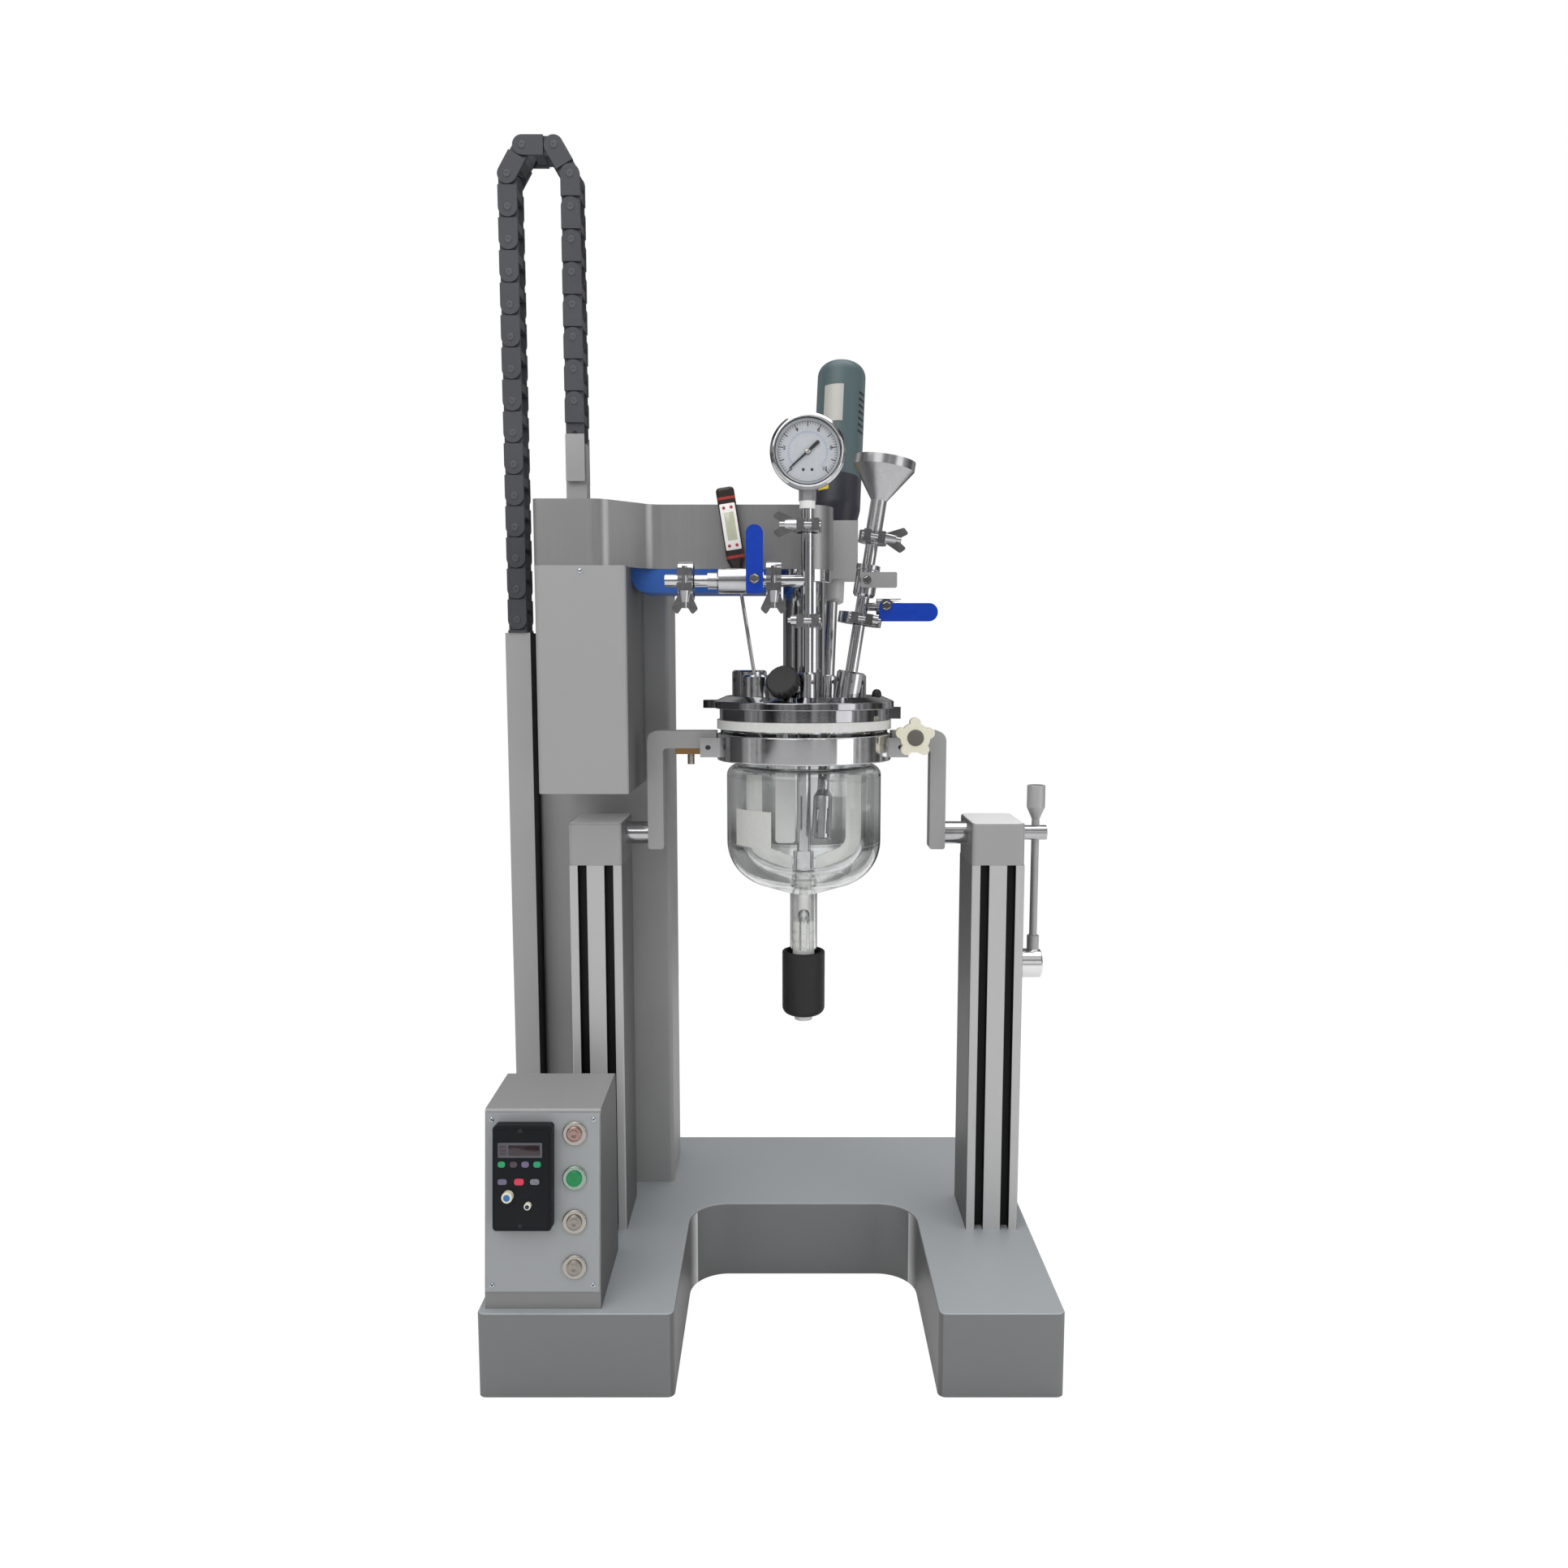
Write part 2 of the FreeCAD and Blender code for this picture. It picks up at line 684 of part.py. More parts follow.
def make_glass_vessel():
    wall = GLASS_WALL
    inner_out = INNER_R + wall
    inner_bottom = VESSEL_BOTTOM - wall
    jacket_bottom = inner_bottom - JACKET_GAP - wall
    jacket_round = BOTTOM_ROUND + wall + JACKET_GAP
    body = revolved([
        (0, jacket_bottom, 0), (JACKET_R, jacket_bottom + BOTTOM_DISH, jacket_round),
        (JACKET_R, SHOULDER_Z, SHOULDER_ROUND), (inner_out, SHOULDER_Z, 0), (inner_out, FLANGE_BOTTOM, 0),
        (FLANGE_R, FLANGE_BOTTOM, 2.0), (FLANGE_R, FLANGE_TOP, 2.0), (0, FLANGE_TOP, 0)], VESSEL_X)
    floor = jacket_bottom + wall
    jacket = revolved([
        (0, floor, 0), (JACKET_R - wall, floor + BOTTOM_DISH, jacket_round - wall),
        (JACKET_R - wall, SHOULDER_Z - wall, SHOULDER_ROUND - wall), (0, SHOULDER_Z - wall, 0)], VESSEL_X)
    inner_body = revolved([
        (0, inner_bottom, 0), (inner_out, inner_bottom + BOTTOM_DISH, BOTTOM_ROUND + wall),
        (inner_out, FLANGE_TOP, 0), (0, FLANGE_TOP, 0)], VESSEL_X)
    inside = revolved([
        (0, VESSEL_BOTTOM, 0), (INNER_R, VESSEL_BOTTOM + BOTTOM_DISH, BOTTOM_ROUND),
        (INNER_R, FLANGE_TOP + HIDDEN, 0), (0, FLANGE_TOP + HIDDEN, 0)], VESSEL_X)
    glass = body.cut(jacket.cut(inner_body))
    neck = cylinder(NECK_R, V(VESSEL_X, 0, NECK_BOTTOM), V(VESSEL_X, 0, VESSEL_BOTTOM + wall))
    glass = glass.multiFuse([neck] + spout(SPOUT_R, SPOUT_END)).cut(inside)
    seat_bottom = VESSEL_BOTTOM - SEAT_THICKNESS
    glass = glass.cut(bore(NECK_BORE, V(VESSEL_X, 0, NECK_BOTTOM), V(VESSEL_X, 0, seat_bottom - HIDDEN)))
    glass = glass.cut(bore(SEAT_BORE, V(VESSEL_X, 0, seat_bottom), V(VESSEL_X, 0, VESSEL_BOTTOM + HIDDEN)))
    for tool in spout(SPOUT_BORE, SPOUT_END - HIDDEN):
        glass = glass.cut(tool)
    for z in (NIPPLE_LOW, NIPPLE_HIGH):
        root = V(VESSEL_X, JACKET_R - wall / 2, z)
        end = V(VESSEL_X, NIPPLE_REACH, z)
        glass = glass.fuse(cylinder(NIPPLE_R, root, end))
        glass = glass.cut(bore(NIPPLE_BORE, V(VESSEL_X, JACKET_R - 2 * wall, z), end))
    return glass.removeSplitter()


def make_gasket():
    return pipe(GASKET_R, INNER_R + GLASS_WALL, V(VESSEL_X, 0, FLANGE_TOP),
                V(VESSEL_X, 0, FLANGE_TOP + GASKET_THICKNESS))


# Column, collar, actuator, chain carrier
def column_corners(inset):
    left = COLUMN_LEFT + inset
    right = COLUMN_LEFT + COLUMN_WIDTH - inset
    near = COLUMN_FRONT + inset
    far = COLUMN_FRONT + COLUMN_DEPTH - inset
    tight = 5.0 - inset if inset < 4 else 1.0
    return [(left, near, tight), (right, near, tight), (right, far, COLUMN_ROUND - inset),
            (left, far, COLUMN_ROUND - inset)]


def ram_centre(z):
    return V(COLUMN_LEFT + COLUMN_WIDTH / 2, COLUMN_FRONT + COLUMN_DEPTH / 2, z)


def ram_box(grow, z0, z1):
    middle = ram_centre(0)
    half_width = RAM_WIDTH / 2 + grow
    half_depth = RAM_DEPTH / 2 + grow
    return box(middle.x - half_width, middle.x + half_width,
               middle.y - half_depth, middle.y + half_depth, z0, z1)


def make_column_housing():
    outer = prism(column_corners(0), plan(BASE_HEIGHT), UP * (COLUMN_TOP - BASE_HEIGHT))
    inner = prism(column_corners(COLUMN_WALL), plan(BASE_HEIGHT - HIDDEN),
                  UP * (COLUMN_TOP - BASE_HEIGHT + 2 * HIDDEN))
    return outer.cut(inner)


def make_column_collar():
    flange = prism(column_corners(0), plan(COLUMN_TOP), UP * (COLLAR_TOP - COLUMN_TOP))
    plug = prism(column_corners(COLUMN_WALL + GAP), plan(COLLAR_TOP - COLLAR_LENGTH), UP * COLLAR_LENGTH)
    return flange.fuse(plug).cut(ram_box(SLIDE, COLLAR_TOP - COLLAR_LENGTH - HIDDEN, COLLAR_TOP + HIDDEN))


def make_actuator_tube():
    bottom = BASE_HEIGHT
    solid = cylinder(ACTUATOR_R, ram_centre(bottom), ram_centre(ACTUATOR_TOP))
    gland = ram_centre(ACTUATOR_TOP - GLAND_LENGTH)
    solid = solid.cut(cylinder(ACTUATOR_BORE, ram_centre(bottom + GLAND_LENGTH), gland))
    return solid.cut(bore(ROD_R + RUN, gland, ram_centre(ACTUATOR_TOP)))


def make_support_tube():
    left = COLUMN_LEFT - SUPPORT_WIDTH
    outer = box(left, COLUMN_LEFT, SUPPORT_FRONT, SUPPORT_FRONT + SUPPORT_DEPTH, BASE_HEIGHT, SUPPORT_TOP)
    wall = SUPPORT_WALL
    inner = box(left + wall, COLUMN_LEFT - wall, SUPPORT_FRONT + wall, SUPPORT_FRONT + SUPPORT_DEPTH - wall,
                BASE_HEIGHT - HIDDEN, SUPPORT_TOP - wall)
    return outer.cut(inner)


# Energy chain
TONGUE_FIRST = LINK_PLATE + GAP
TONGUE_LAST = TONGUE_FIRST + LINK_PLATE


def both_sides(shape):
    middle = V(0, CHAIN_WIDTH / 2, 0)
    return [shape, shape.mirror(middle, BACK)]


def tongue_plates(bottom, top):
    plate = box(-TONGUE_R, TONGUE_R, TONGUE_FIRST, TONGUE_LAST, bottom, top)
    round_end = cylinder(TONGUE_R, V(0, TONGUE_FIRST, top), V(0, TONGUE_LAST, top))
    return both_sides(plate.fuse(round_end))


def pin_holes(z):
    return both_sides(bore(LINK_PIN_R + RUN, V(0, TONGUE_FIRST, z), V(0, TONGUE_LAST, z)))


def make_link(with_hole):
    """Link that starts at the origin and runs up: outer lobes, block with crossbars, inner tongues."""
    block_end = BLOCK_START + BLOCK_LENGTH
    lobe = cylinder(LOBE_R, ORIGIN, BACK * LINK_PLATE)
    lobe = lobe.fuse(box(-LOBE_R, LOBE_R, 0, LINK_PLATE, 0, BLOCK_START))
    block = box(-LOBE_R, LOBE_R, 0, TONGUE_LAST, BLOCK_START, block_end)
    pin = cylinder(LINK_PIN_R, BACK * (LINK_PLATE / 2), BACK * (TONGUE_LAST + GAP))
    shapes = both_sides(fused([lobe, block, pin])) + tongue_plates(block_end - HIDDEN, PITCH)
    outer = LOBE_R - BAR_INSET
    for near in (-outer, outer - BAR_THICKNESS):
        shapes.append(box(near, near + BAR_THICKNESS, LINK_PLATE, CHAIN_WIDTH - LINK_PLATE,
                          BLOCK_START + HIDDEN, block_end - HIDDEN))
    link = fused(shapes)
    if with_hole:
        for hole in pin_holes(PITCH):
            link = link.cut(hole)
    return link


def placed(shape, point, angle):
    copy = shape.copy()
    copy.rotate(ORIGIN, BACK, angle)
    copy.translate(point)
    return copy


def chain_points():
    """Pivots from the top of the fixed run to the free end, with the direction of each link."""
    point = V(CHAIN_X, CHAIN_FRONT, CHAIN_FIRST_Z + FIXED_LINKS * PITCH)
    angle = 0.0
    points = [point]
    angles = []
    for i in range(len(LOOP_BENDS) - 1 + 3 + MOVING_LINKS):
        angle += LOOP_BENDS[i] if i < len(LOOP_BENDS) else 0.0
        angles.append(angle)
        turn = math.radians(angle)
        point = point + V(math.sin(turn), 0, math.cos(turn)) * PITCH
        points.append(point)
    return points, angles


def chain_run(first, count, last_hole=True):
    points, angles = chain_points()
    links = []
    for i in range(first, first + count):
        hole = last_hole and i == first + count - 1
        links.append(placed(make_link(hole), points[i], angles[i]))
    return fused(links) if count > 1 else links[0]


def make_chain_fixed_run():
    start = V(CHAIN_X, CHAIN_FRONT, CHAIN_FIRST_Z)
    last = FIXED_LINKS - 1
    links = [placed(make_link(i == last), start + UP * (i * PITCH), 0.0) for i in range(FIXED_LINKS)]
    drop = SUPPORT_TOP - CHAIN_FIRST_Z
    foot = box(-LOBE_R, LOBE_R, 0, CHAIN_WIDTH, drop, drop + LINK_PLATE)
    anchor = fused([foot] + tongue_plates(drop, 0))
    return fused(links + [placed(anchor, start, 0.0)])


# Control box
def panel_angle():
    return math.degrees(math.atan2(CONTROL_SHOULDER_TOP - CONTROL_TOE_TOP, CONTROL_SHOULDER - CONTROL_TOE))


def panel_length():
    return math.hypot(CONTROL_SHOULDER_TOP - CONTROL_TOE_TOP, CONTROL_SHOULDER - CONTROL_TOE)


def on_panel(shape):
    """Moves a shape drawn as (across, up the slope, outward) to the sloped panel's top left corner."""
    place = FreeCAD.Placement(V(CONTROL_LEFT, CONTROL_SHOULDER, CONTROL_SHOULDER_TOP),
                              FreeCAD.Rotation(RIGHT, panel_angle()))
    return shape.transformed(place.toMatrix())


def panel_cylinder(radius, across, down, low, high):
    return on_panel(cylinder(radius, V(across, -down, low), V(across, -down, high)))


def make_control_box():
    corners = [
        (CONTROL_TOE, BASE_HEIGHT, 0), (CONTROL_TOE, CONTROL_TOE_TOP, 0),
        (CONTROL_SHOULDER, CONTROL_SHOULDER_TOP, 3.0), (CONTROL_BACK, CONTROL_BACK_TOP, 3.0),
        (CONTROL_BACK, BASE_HEIGHT, 0)]
    body = closed_housing(corners, side(CONTROL_LEFT), RIGHT * CONTROL_WIDTH, CONTROL_WALL)
    for down in BUTTON_ROWS:
        body = body.cut(panel_cylinder(CAP_R + GAP, BUTTON_OFFSET, down, -CONTROL_WALL - 2, HIDDEN))
    return body


def make_control_panel():
    length = panel_length()
    plate = on_panel(box(PANEL_MARGIN, CONTROL_WIDTH - PANEL_MARGIN,
                         -length + PANEL_MARGIN, -PANEL_MARGIN - 2, 0, PANEL_THICKNESS))
    solids = []
    for down in BUTTON_ROWS:
        hole = panel_cylinder(CAP_R + RUN, BUTTON_OFFSET, down, -HIDDEN, PANEL_THICKNESS + HIDDEN)
        plate = plate.cut(hole)
        ring = revolved([(CAP_R + RUN, 0, 0), (BEZEL_R, 0, 0), (BEZEL_R, BEZEL_HEIGHT, 1.2),
                         (CAP_R + RUN, BEZEL_HEIGHT, 0)])
        ring.translate(V(BUTTON_OFFSET, -down, PANEL_THICKNESS))
        solids.append(on_panel(ring))
    return [plate] + solids


def make_push_button(row):
    down = BUTTON_ROWS[row]
    top = PANEL_THICKNESS + BEZEL_HEIGHT + CAP_HEIGHT
    button = revolved([(0, -CAP_REAR, 0), (CAP_R, -CAP_REAR, 0), (CAP_R, top, 1.0), (0, top, 0)])
    button.translate(V(BUTTON_OFFSET, -down, 0))
    return on_panel(button)


def make_inverter():
    body = prism(rectangle(INVERTER_LEFT, INVERTER_LEFT + INVERTER_WIDTH, -INVERTER_START - INVERTER_LENGTH,
                           -INVERTER_START, INVERTER_ROUND), plan(PANEL_THICKNESS), UP * INVERTER_HEIGHT)
    top = PANEL_THICKNESS + INVERTER_HEIGHT
    for across, down in (SPEED_KNOB[:2], TRIM_KNOB[:2]):
        body = body.cut(cylinder(KNOB_STEM_R + RUN, V(across, -down, top - KNOB_STEM - GAP),
                                 V(across, -down, top + HIDDEN)))
    return on_panel(body)


def make_inverter_knob(place):
    across, down, radius, height = place
    top = PANEL_THICKNESS + INVERTER_HEIGHT
    low = top + GAP
    knob = revolved([(0, top - KNOB_STEM, 0), (KNOB_STEM_R, top - KNOB_STEM, 0), (KNOB_STEM_R, low, 0),
                     (radius, low, 0), (radius, low + height, 1.0), (0, low + height, 0)])
    knob.translate(V(across, -down, 0))
    return on_panel(knob)


# Column head, arm and drive box
def make_arm_housing():
    nose = VESSEL_X + ARM_HALF
    corners = [
        (nose, -ARM_HALF, ARM_HALF), (nose, ARM_HALF, ARM_HALF), (ARM_BLOCK_RIGHT, ARM_HALF, 20.0),
        (ARM_BLOCK_RIGHT, ARM_BACK, 12.0), (BOX_LEFT, ARM_BACK, 12.0), (BOX_LEFT, BOX_FRONT, BOX_ROUND),
        (S_LEFT, BOX_FRONT, S_ROUND), (S_RIGHT, -ARM_HALF, S_ROUND)]
    arm = closed_housing(corners, plan(ARM_BOTTOM), UP * (ARM_TOP - ARM_BOTTOM), ARM_WALL)
    arm = arm.cut(bore(SHAFT_HOLE, V(VESSEL_X, 0, ARM_BOTTOM), V(VESSEL_X, 0, ARM_BOTTOM + ARM_WALL)))
    return arm.cut(bore(SHAFT_HOLE, V(MOTOR_X, 0, ARM_BOTTOM), V(MOTOR_X, 0, ARM_BOTTOM + ARM_WALL)))


def make_drive_box():
    corners = rectangle(BOX_LEFT, BOX_RIGHT, BOX_FRONT, BOX_BACK, BOX_ROUND)
    housing = closed_housing(corners, plan(BOX_BOTTOM), UP * (ARM_BOTTOM - BOX_BOTTOM), ARM_WALL)
    return housing.cut(bore(SHAFT_HOLE, V(MOTOR_X, 0, ARM_BOTTOM - ARM_WALL), V(MOTOR_X, 0, ARM_BOTTOM)))


def make_drive_cover():
    corners = [(BOX_RIGHT, COVER_BOTTOM, COVER_ROUND), (COVER_RIGHT, COVER_BOTTOM, 4.0),
               (COVER_RIGHT, ARM_BOTTOM, 0), (BOX_RIGHT, ARM_BOTTOM, 0)]
    return closed_housing(corners, front(-ARM_HALF), BACK * (2 * ARM_HALF), ARM_WALL)


def make_lift_ram():
    tube = ram_box(0, RAM_BOTTOM, ARM_BOTTOM)
    tube = tube.cut(ram_box(-RAM_WALL, RAM_BOTTOM - HIDDEN, ARM_BOTTOM - LAND))
    rod = cylinder(ROD_R, ram_centre(PISTON_BOTTOM), ram_centre(ARM_BOTTOM - LAND / 2))
    piston_top = ram_centre(PISTON_BOTTOM + PISTON_LENGTH)
    piston = cylinder(ACTUATOR_BORE - RUN, ram_centre(PISTON_BOTTOM), piston_top)
    return fused([tube, rod, piston])


def make_chain_post():
    points, angles = chain_points()
    end = points[-1]
    middle_y = CHAIN_WIDTH / 2
    half_depth = middle_y - TONGUE_LAST - HIDDEN
    half_width = LOBE_R + HIDDEN
    post = box(-half_width, half_width, middle_y - half_depth, middle_y + half_depth,
               ARM_TOP - end.z, -POST_TOP_DROP)
    ears = both_sides(box(-LOBE_R, LOBE_R, 0, LINK_PLATE, -5 * LOBE_R, -EAR_DROP))
    bolts = [cylinder(LINK_PIN_R, V(0, 0, z), V(0, CHAIN_WIDTH, z)) for z in (-4.3 * LOBE_R, -3 * LOBE_R)]
    return placed(fused([post] + ears + bolts), end, 0.0)


def make_stirrer_motor():
    top = ARM_BOTTOM - ARM_WALL
    corners = [(0, MOTOR_BOTTOM, 0), (MOTOR_R, MOTOR_BOTTOM, 6.0), (MOTOR_R, top, 0), (0, top, 0)]
    body = revolved(corners, MOTOR_X)
    return body.cut(bore(MOTOR_SHAFT_R + RUN, V(MOTOR_X, 0, (MOTOR_BOTTOM + top) / 2), V(MOTOR_X, 0, top)))


def belt_loop(grow):
    """Outline round both pulleys, drawn at a distance outside them."""
    first_r = MOTOR_PULLEY_R + grow
    last_r = SHAFT_PULLEY_R + grow
    distance = VESSEL_X - MOTOR_X
    sine = (last_r - first_r) / distance
    cosine = math.sqrt(1 - sine * sine)

    def point(x, radius, sign):
        return V(x - radius * sine, sign * radius * cosine, BELT_BOTTOM)

    first_low = point(MOTOR_X, first_r, -1)
    first_high = point(MOTOR_X, first_r, 1)
    last_low = point(VESSEL_X, last_r, -1)
    last_high = point(VESSEL_X, last_r, 1)
    edges = [
        Part.LineSegment(first_low, last_low).toShape(),
        Part.Arc(last_low, V(VESSEL_X + last_r, 0, BELT_BOTTOM), last_high).toShape(),
        Part.LineSegment(last_high, first_high).toShape(),
        Part.Arc(first_high, V(MOTOR_X - first_r, 0, BELT_BOTTOM), first_low).toShape()]
    return Part.Face(Part.Wire(edges))


def make_drive_belt():
    outer = belt_loop(GAP + BELT_THICKNESS).extrude(UP * BELT_WIDTH)
    inner = belt_loop(GAP)
    inner.translate(UP * -HIDDEN)
    return outer.cut(inner.extrude(UP * (BELT_WIDTH + 2 * HIDDEN)))


def make_stirrer_tube():
    flange_bottom = ARM_BOTTOM - TUBE_FLANGE
    body = revolved([
        (0, LID_TOP, 0), (TUBE_R, LID_TOP, 0), (TUBE_R, flange_bottom, 0),
        (TUBE_FLANGE_R, flange_bottom, 1.0), (TUBE_FLANGE_R, ARM_BOTTOM, 0), (0, ARM_BOTTOM, 0)], VESSEL_X)
    body = body.cut(bore(SHAFT_R + RUN, V(VESSEL_X, 0, LID_TOP), V(VESSEL_X, 0, ARM_BOTTOM)))
    return body.cut(cylinder(TUBE_BORE, V(VESSEL_X, 0, LID_TOP + LAND), V(VESSEL_X, 0, ARM_BOTTOM - LAND)))


def pulley(x, radius, margin):
    top = BELT_BOTTOM + BELT_WIDTH + margin
    return cylinder(radius, V(x, 0, BELT_BOTTOM - margin), V(x, 0, top))


def make_motor_pulley():
    middle = V(MOTOR_X, 0, (MOTOR_BOTTOM + ARM_BOTTOM) / 2)
    shaft = cylinder(MOTOR_SHAFT_R, middle, V(MOTOR_X, 0, BELT_BOTTOM))
    return fused([pulley(MOTOR_X, MOTOR_PULLEY_R, HIDDEN), shaft])


# Stirrer
def frame_corners(inset):
    half = FRAME_HALF - inset
    slope = BOTTOM_DISH / INNER_R
    low = FRAME_BOTTOM + inset * math.sqrt(1 + slope * slope)
    knee = low + half * slope
    return [(VESSEL_X - half, FRAME_TOP, 0), (VESSEL_X - half, knee, FRAME_ROUND - inset),
            (VESSEL_X, low, 0), (VESSEL_X + half, knee, FRAME_ROUND - inset),
            (VESSEL_X + half, FRAME_TOP, 0)]


def make_stirrer_shaft():
    half = FRAME_THICK / 2
    frame = prism(frame_corners(0), front(-half), BACK * FRAME_THICK)
    inner = frame_corners(FRAME_BAR)
    inner[0] = (inner[0][0], FRAME_TOP + HIDDEN, 0)
    inner[-1] = (inner[-1][0], FRAME_TOP + HIDDEN, 0)
    frame = frame.cut(prism(inner, front(-half - HIDDEN), BACK * (FRAME_THICK + 2 * HIDDEN)))
    hub = cylinder(FRAME_HUB_R, V(VESSEL_X, 0, FRAME_BOTTOM), V(VESSEL_X, 0, FRAME_BOTTOM + FRAME_HUB))
    shaft = cylinder(SHAFT_R, V(VESSEL_X, 0, FRAME_BOTTOM), V(VESSEL_X, 0, BELT_BOTTOM))
    return fused([frame, hub, shaft, pulley(VESSEL_X, SHAFT_PULLEY_R, HIDDEN)])


def blade_corners(half, low, top):
    slope = BOTTOM_DISH / INNER_R
    rounding = BOTTOM_ROUND - (INNER_R - half)
    knee = low + half * slope
    return [(VESSEL_X - half, top, 0), (VESSEL_X - half, knee, rounding), (VESSEL_X, low, 0),
            (VESSEL_X + half, knee, rounding), (VESSEL_X + half, top, 0)]


def make_scraper_blades():
    near = -FRAME_THICK / 2 - BLADE_THICK
    inner_half = BLADE_REACH - BLADE_WIDTH
    outer = prism(blade_corners(BLADE_REACH, BLADE_BOTTOM, BLADE_TOP), front(near), BACK * BLADE_THICK)
    inner = prism(blade_corners(inner_half, BLADE_BOTTOM + BLADE_WIDTH, BLADE_TOP + HIDDEN),
                  front(near - HIDDEN), BACK * (BLADE_THICK + 2 * HIDDEN))
    middle = box(VESSEL_X - BLADE_MIDDLE, VESSEL_X + BLADE_MIDDLE, near - HIDDEN, HIDDEN,
                 BLADE_BOTTOM - HIDDEN, BLADE_TOP + HIDDEN)
    return outer.cut(inner).cut(middle)


# Lid and ports
def port_axis(port, lean):
    return V(port[0], port[1], LID_TOP), V(*lean).normalize()


def make_lid():
    seal = FLANGE_TOP + GASKET_THICKNESS + GAP
    lid = revolved([
        (0, LID_RECESS_TOP, 0), (LID_RECESS_R, LID_RECESS_TOP, 0), (LID_RECESS_R, seal, 0),
        (LID_BAND_R, seal, 0), (LID_BAND_R, LID_BAND_TOP, 0), (LID_FLANGE_R, LID_BAND_TOP, 1.0),
        (LID_FLANGE_R, LID_RIM_TOP, 1.5), (LID_SLOPE_R, LID_TOP, 3.0), (0, LID_TOP, 0)], VESSEL_X)
    left = VESSEL_X - LID_FLANGE_R
    near = left + TAB_REACH
    far = left - TAB_REACH
    end_round = TAB_HALF - 1
    corners = [(near, -TAB_HALF, 0), (near, TAB_HALF, 0), (far, TAB_HALF, end_round),
               (far, -TAB_HALF, end_round)]
    tab = prism(corners, plan(LID_BAND_TOP), UP * TAB_HEIGHT)
    right = VESSEL_X + LID_FLANGE_R
    lug = box(VESSEL_X + LID_BAND_R - 2, right + LUG_SIDE_REACH, -5, 5, seal + GAP, LID_BAND_TOP + HIDDEN)
    lid = fused([lid, tab, lug])
    lid = lid.cut(bore(SHAFT_HOLE, V(VESSEL_X, 0, LID_RECESS_TOP), V(VESSEL_X, 0, LID_TOP)))
    for tool in lid_bores():
        lid = lid.cut(tool)
    return lid


def lid_bores():
    """Bores of the ports through the lid and their nuts, each along its own line."""
    tools = []
    reach = 2 * (LID_TOP - LID_RECESS_TOP + NUT_WALL + GASKET_THICKNESS)
    for port, lean, radius in (
            (GAUGE_PORT, (0, 0, 1), PIPE_R), (FEED_PORT, (FEED_SLOPE, 0, 1), PIPE_R),
            (STEM_PORT, LEAN, STEM_R), (PROBE_PORT, PROBE_LEAN, PROBE_R)):
        start, direction = port_axis(port, lean)
        tools.append(cylinder(radius + RUN, start - direction * reach, start + direction * reach))
    return tools


def make_baffle():
    left = VESSEL_X - BAFFLE_FAR
    right = VESSEL_X - BAFFLE_NEAR
    half = BAFFLE_THICKNESS / 2
    sheet = rectangle(left, right, BAFFLE_BOTTOM, BAFFLE_TOP, 4.0)
    plate = prism(sheet, front(-half), BACK * BAFFLE_THICKNESS)
    middle = (left + right) / 2
    rod = cylinder(BAFFLE_ROD_R, V(middle, 0, BAFFLE_TOP - LAND), V(middle, 0, LID_RECESS_TOP))
    return fused([plate, rod])


def below_lid():
    """Block that takes away whatever of a port part lies under the lid's top face."""
    return box(-BASE_LENGTH / 2, BASE_LENGTH / 2, -BASE_LENGTH / 2, BASE_LENGTH / 2, BASE_HEIGHT, LID_TOP)


def union_nut(port, lean, holes):
    start, direction = port_axis(port, lean)
    radius = port[2]
    height = port[3]
    points = [(0, -5), (radius, -5), (radius, height - 2), (radius - 2, height), (0, height)]
    nut = turned(points, start, direction).cut(below_lid())
    side_way = direction.cross(BACK).normalize()
    for i in range(holes):
        turn = FreeCAD.Rotation(direction, 30.0 + i * 360.0 / holes)
        ray = turn.multVec(side_way)
        middle = start + direction * (height * 0.62)
        floor = middle + ray * (radius - NUT_WALL)
        nut = nut.cut(cylinder(TOMMY_R, floor, middle + ray * (radius + HIDDEN)))
    return nut


def make_port_nuts():
    upright = (0, 0, 1)
    nuts = [
        union_nut(PLUG_PORT, upright, 6), union_nut(PROBE_PORT, upright, 6),
        union_nut(GAUGE_PORT, upright, 4), union_nut(FEED_PORT, (FEED_SLOPE, 0, 1), 6),
        union_nut(STEM_PORT, LEAN, 4), union_nut(SPARE_PORT, upright, 4)]
    for tool in lid_bores():
        nuts = [nut.cut(tool) for nut in nuts]
    return nuts


def knob_frame():
    return V(*LID_KNOB), V(*LID_KNOB_AXIS).normalize()


def knob_stem_length():
    centre, axis = knob_frame()
    return (centre.z - LID_TOP) / axis.z


def make_knob_boss():
    centre, axis = knob_frame()
    foot = centre - axis * knob_stem_length()
    top = centre - axis * (LID_KNOB_HALF + GAP)
    boss = cylinder(2 * LID_KNOB_STEM_R, foot - axis * LAND, top)
    boss = boss.cut(below_lid())
    return boss.cut(cylinder(LID_KNOB_STEM_R + RUN, foot, top + axis * HIDDEN))


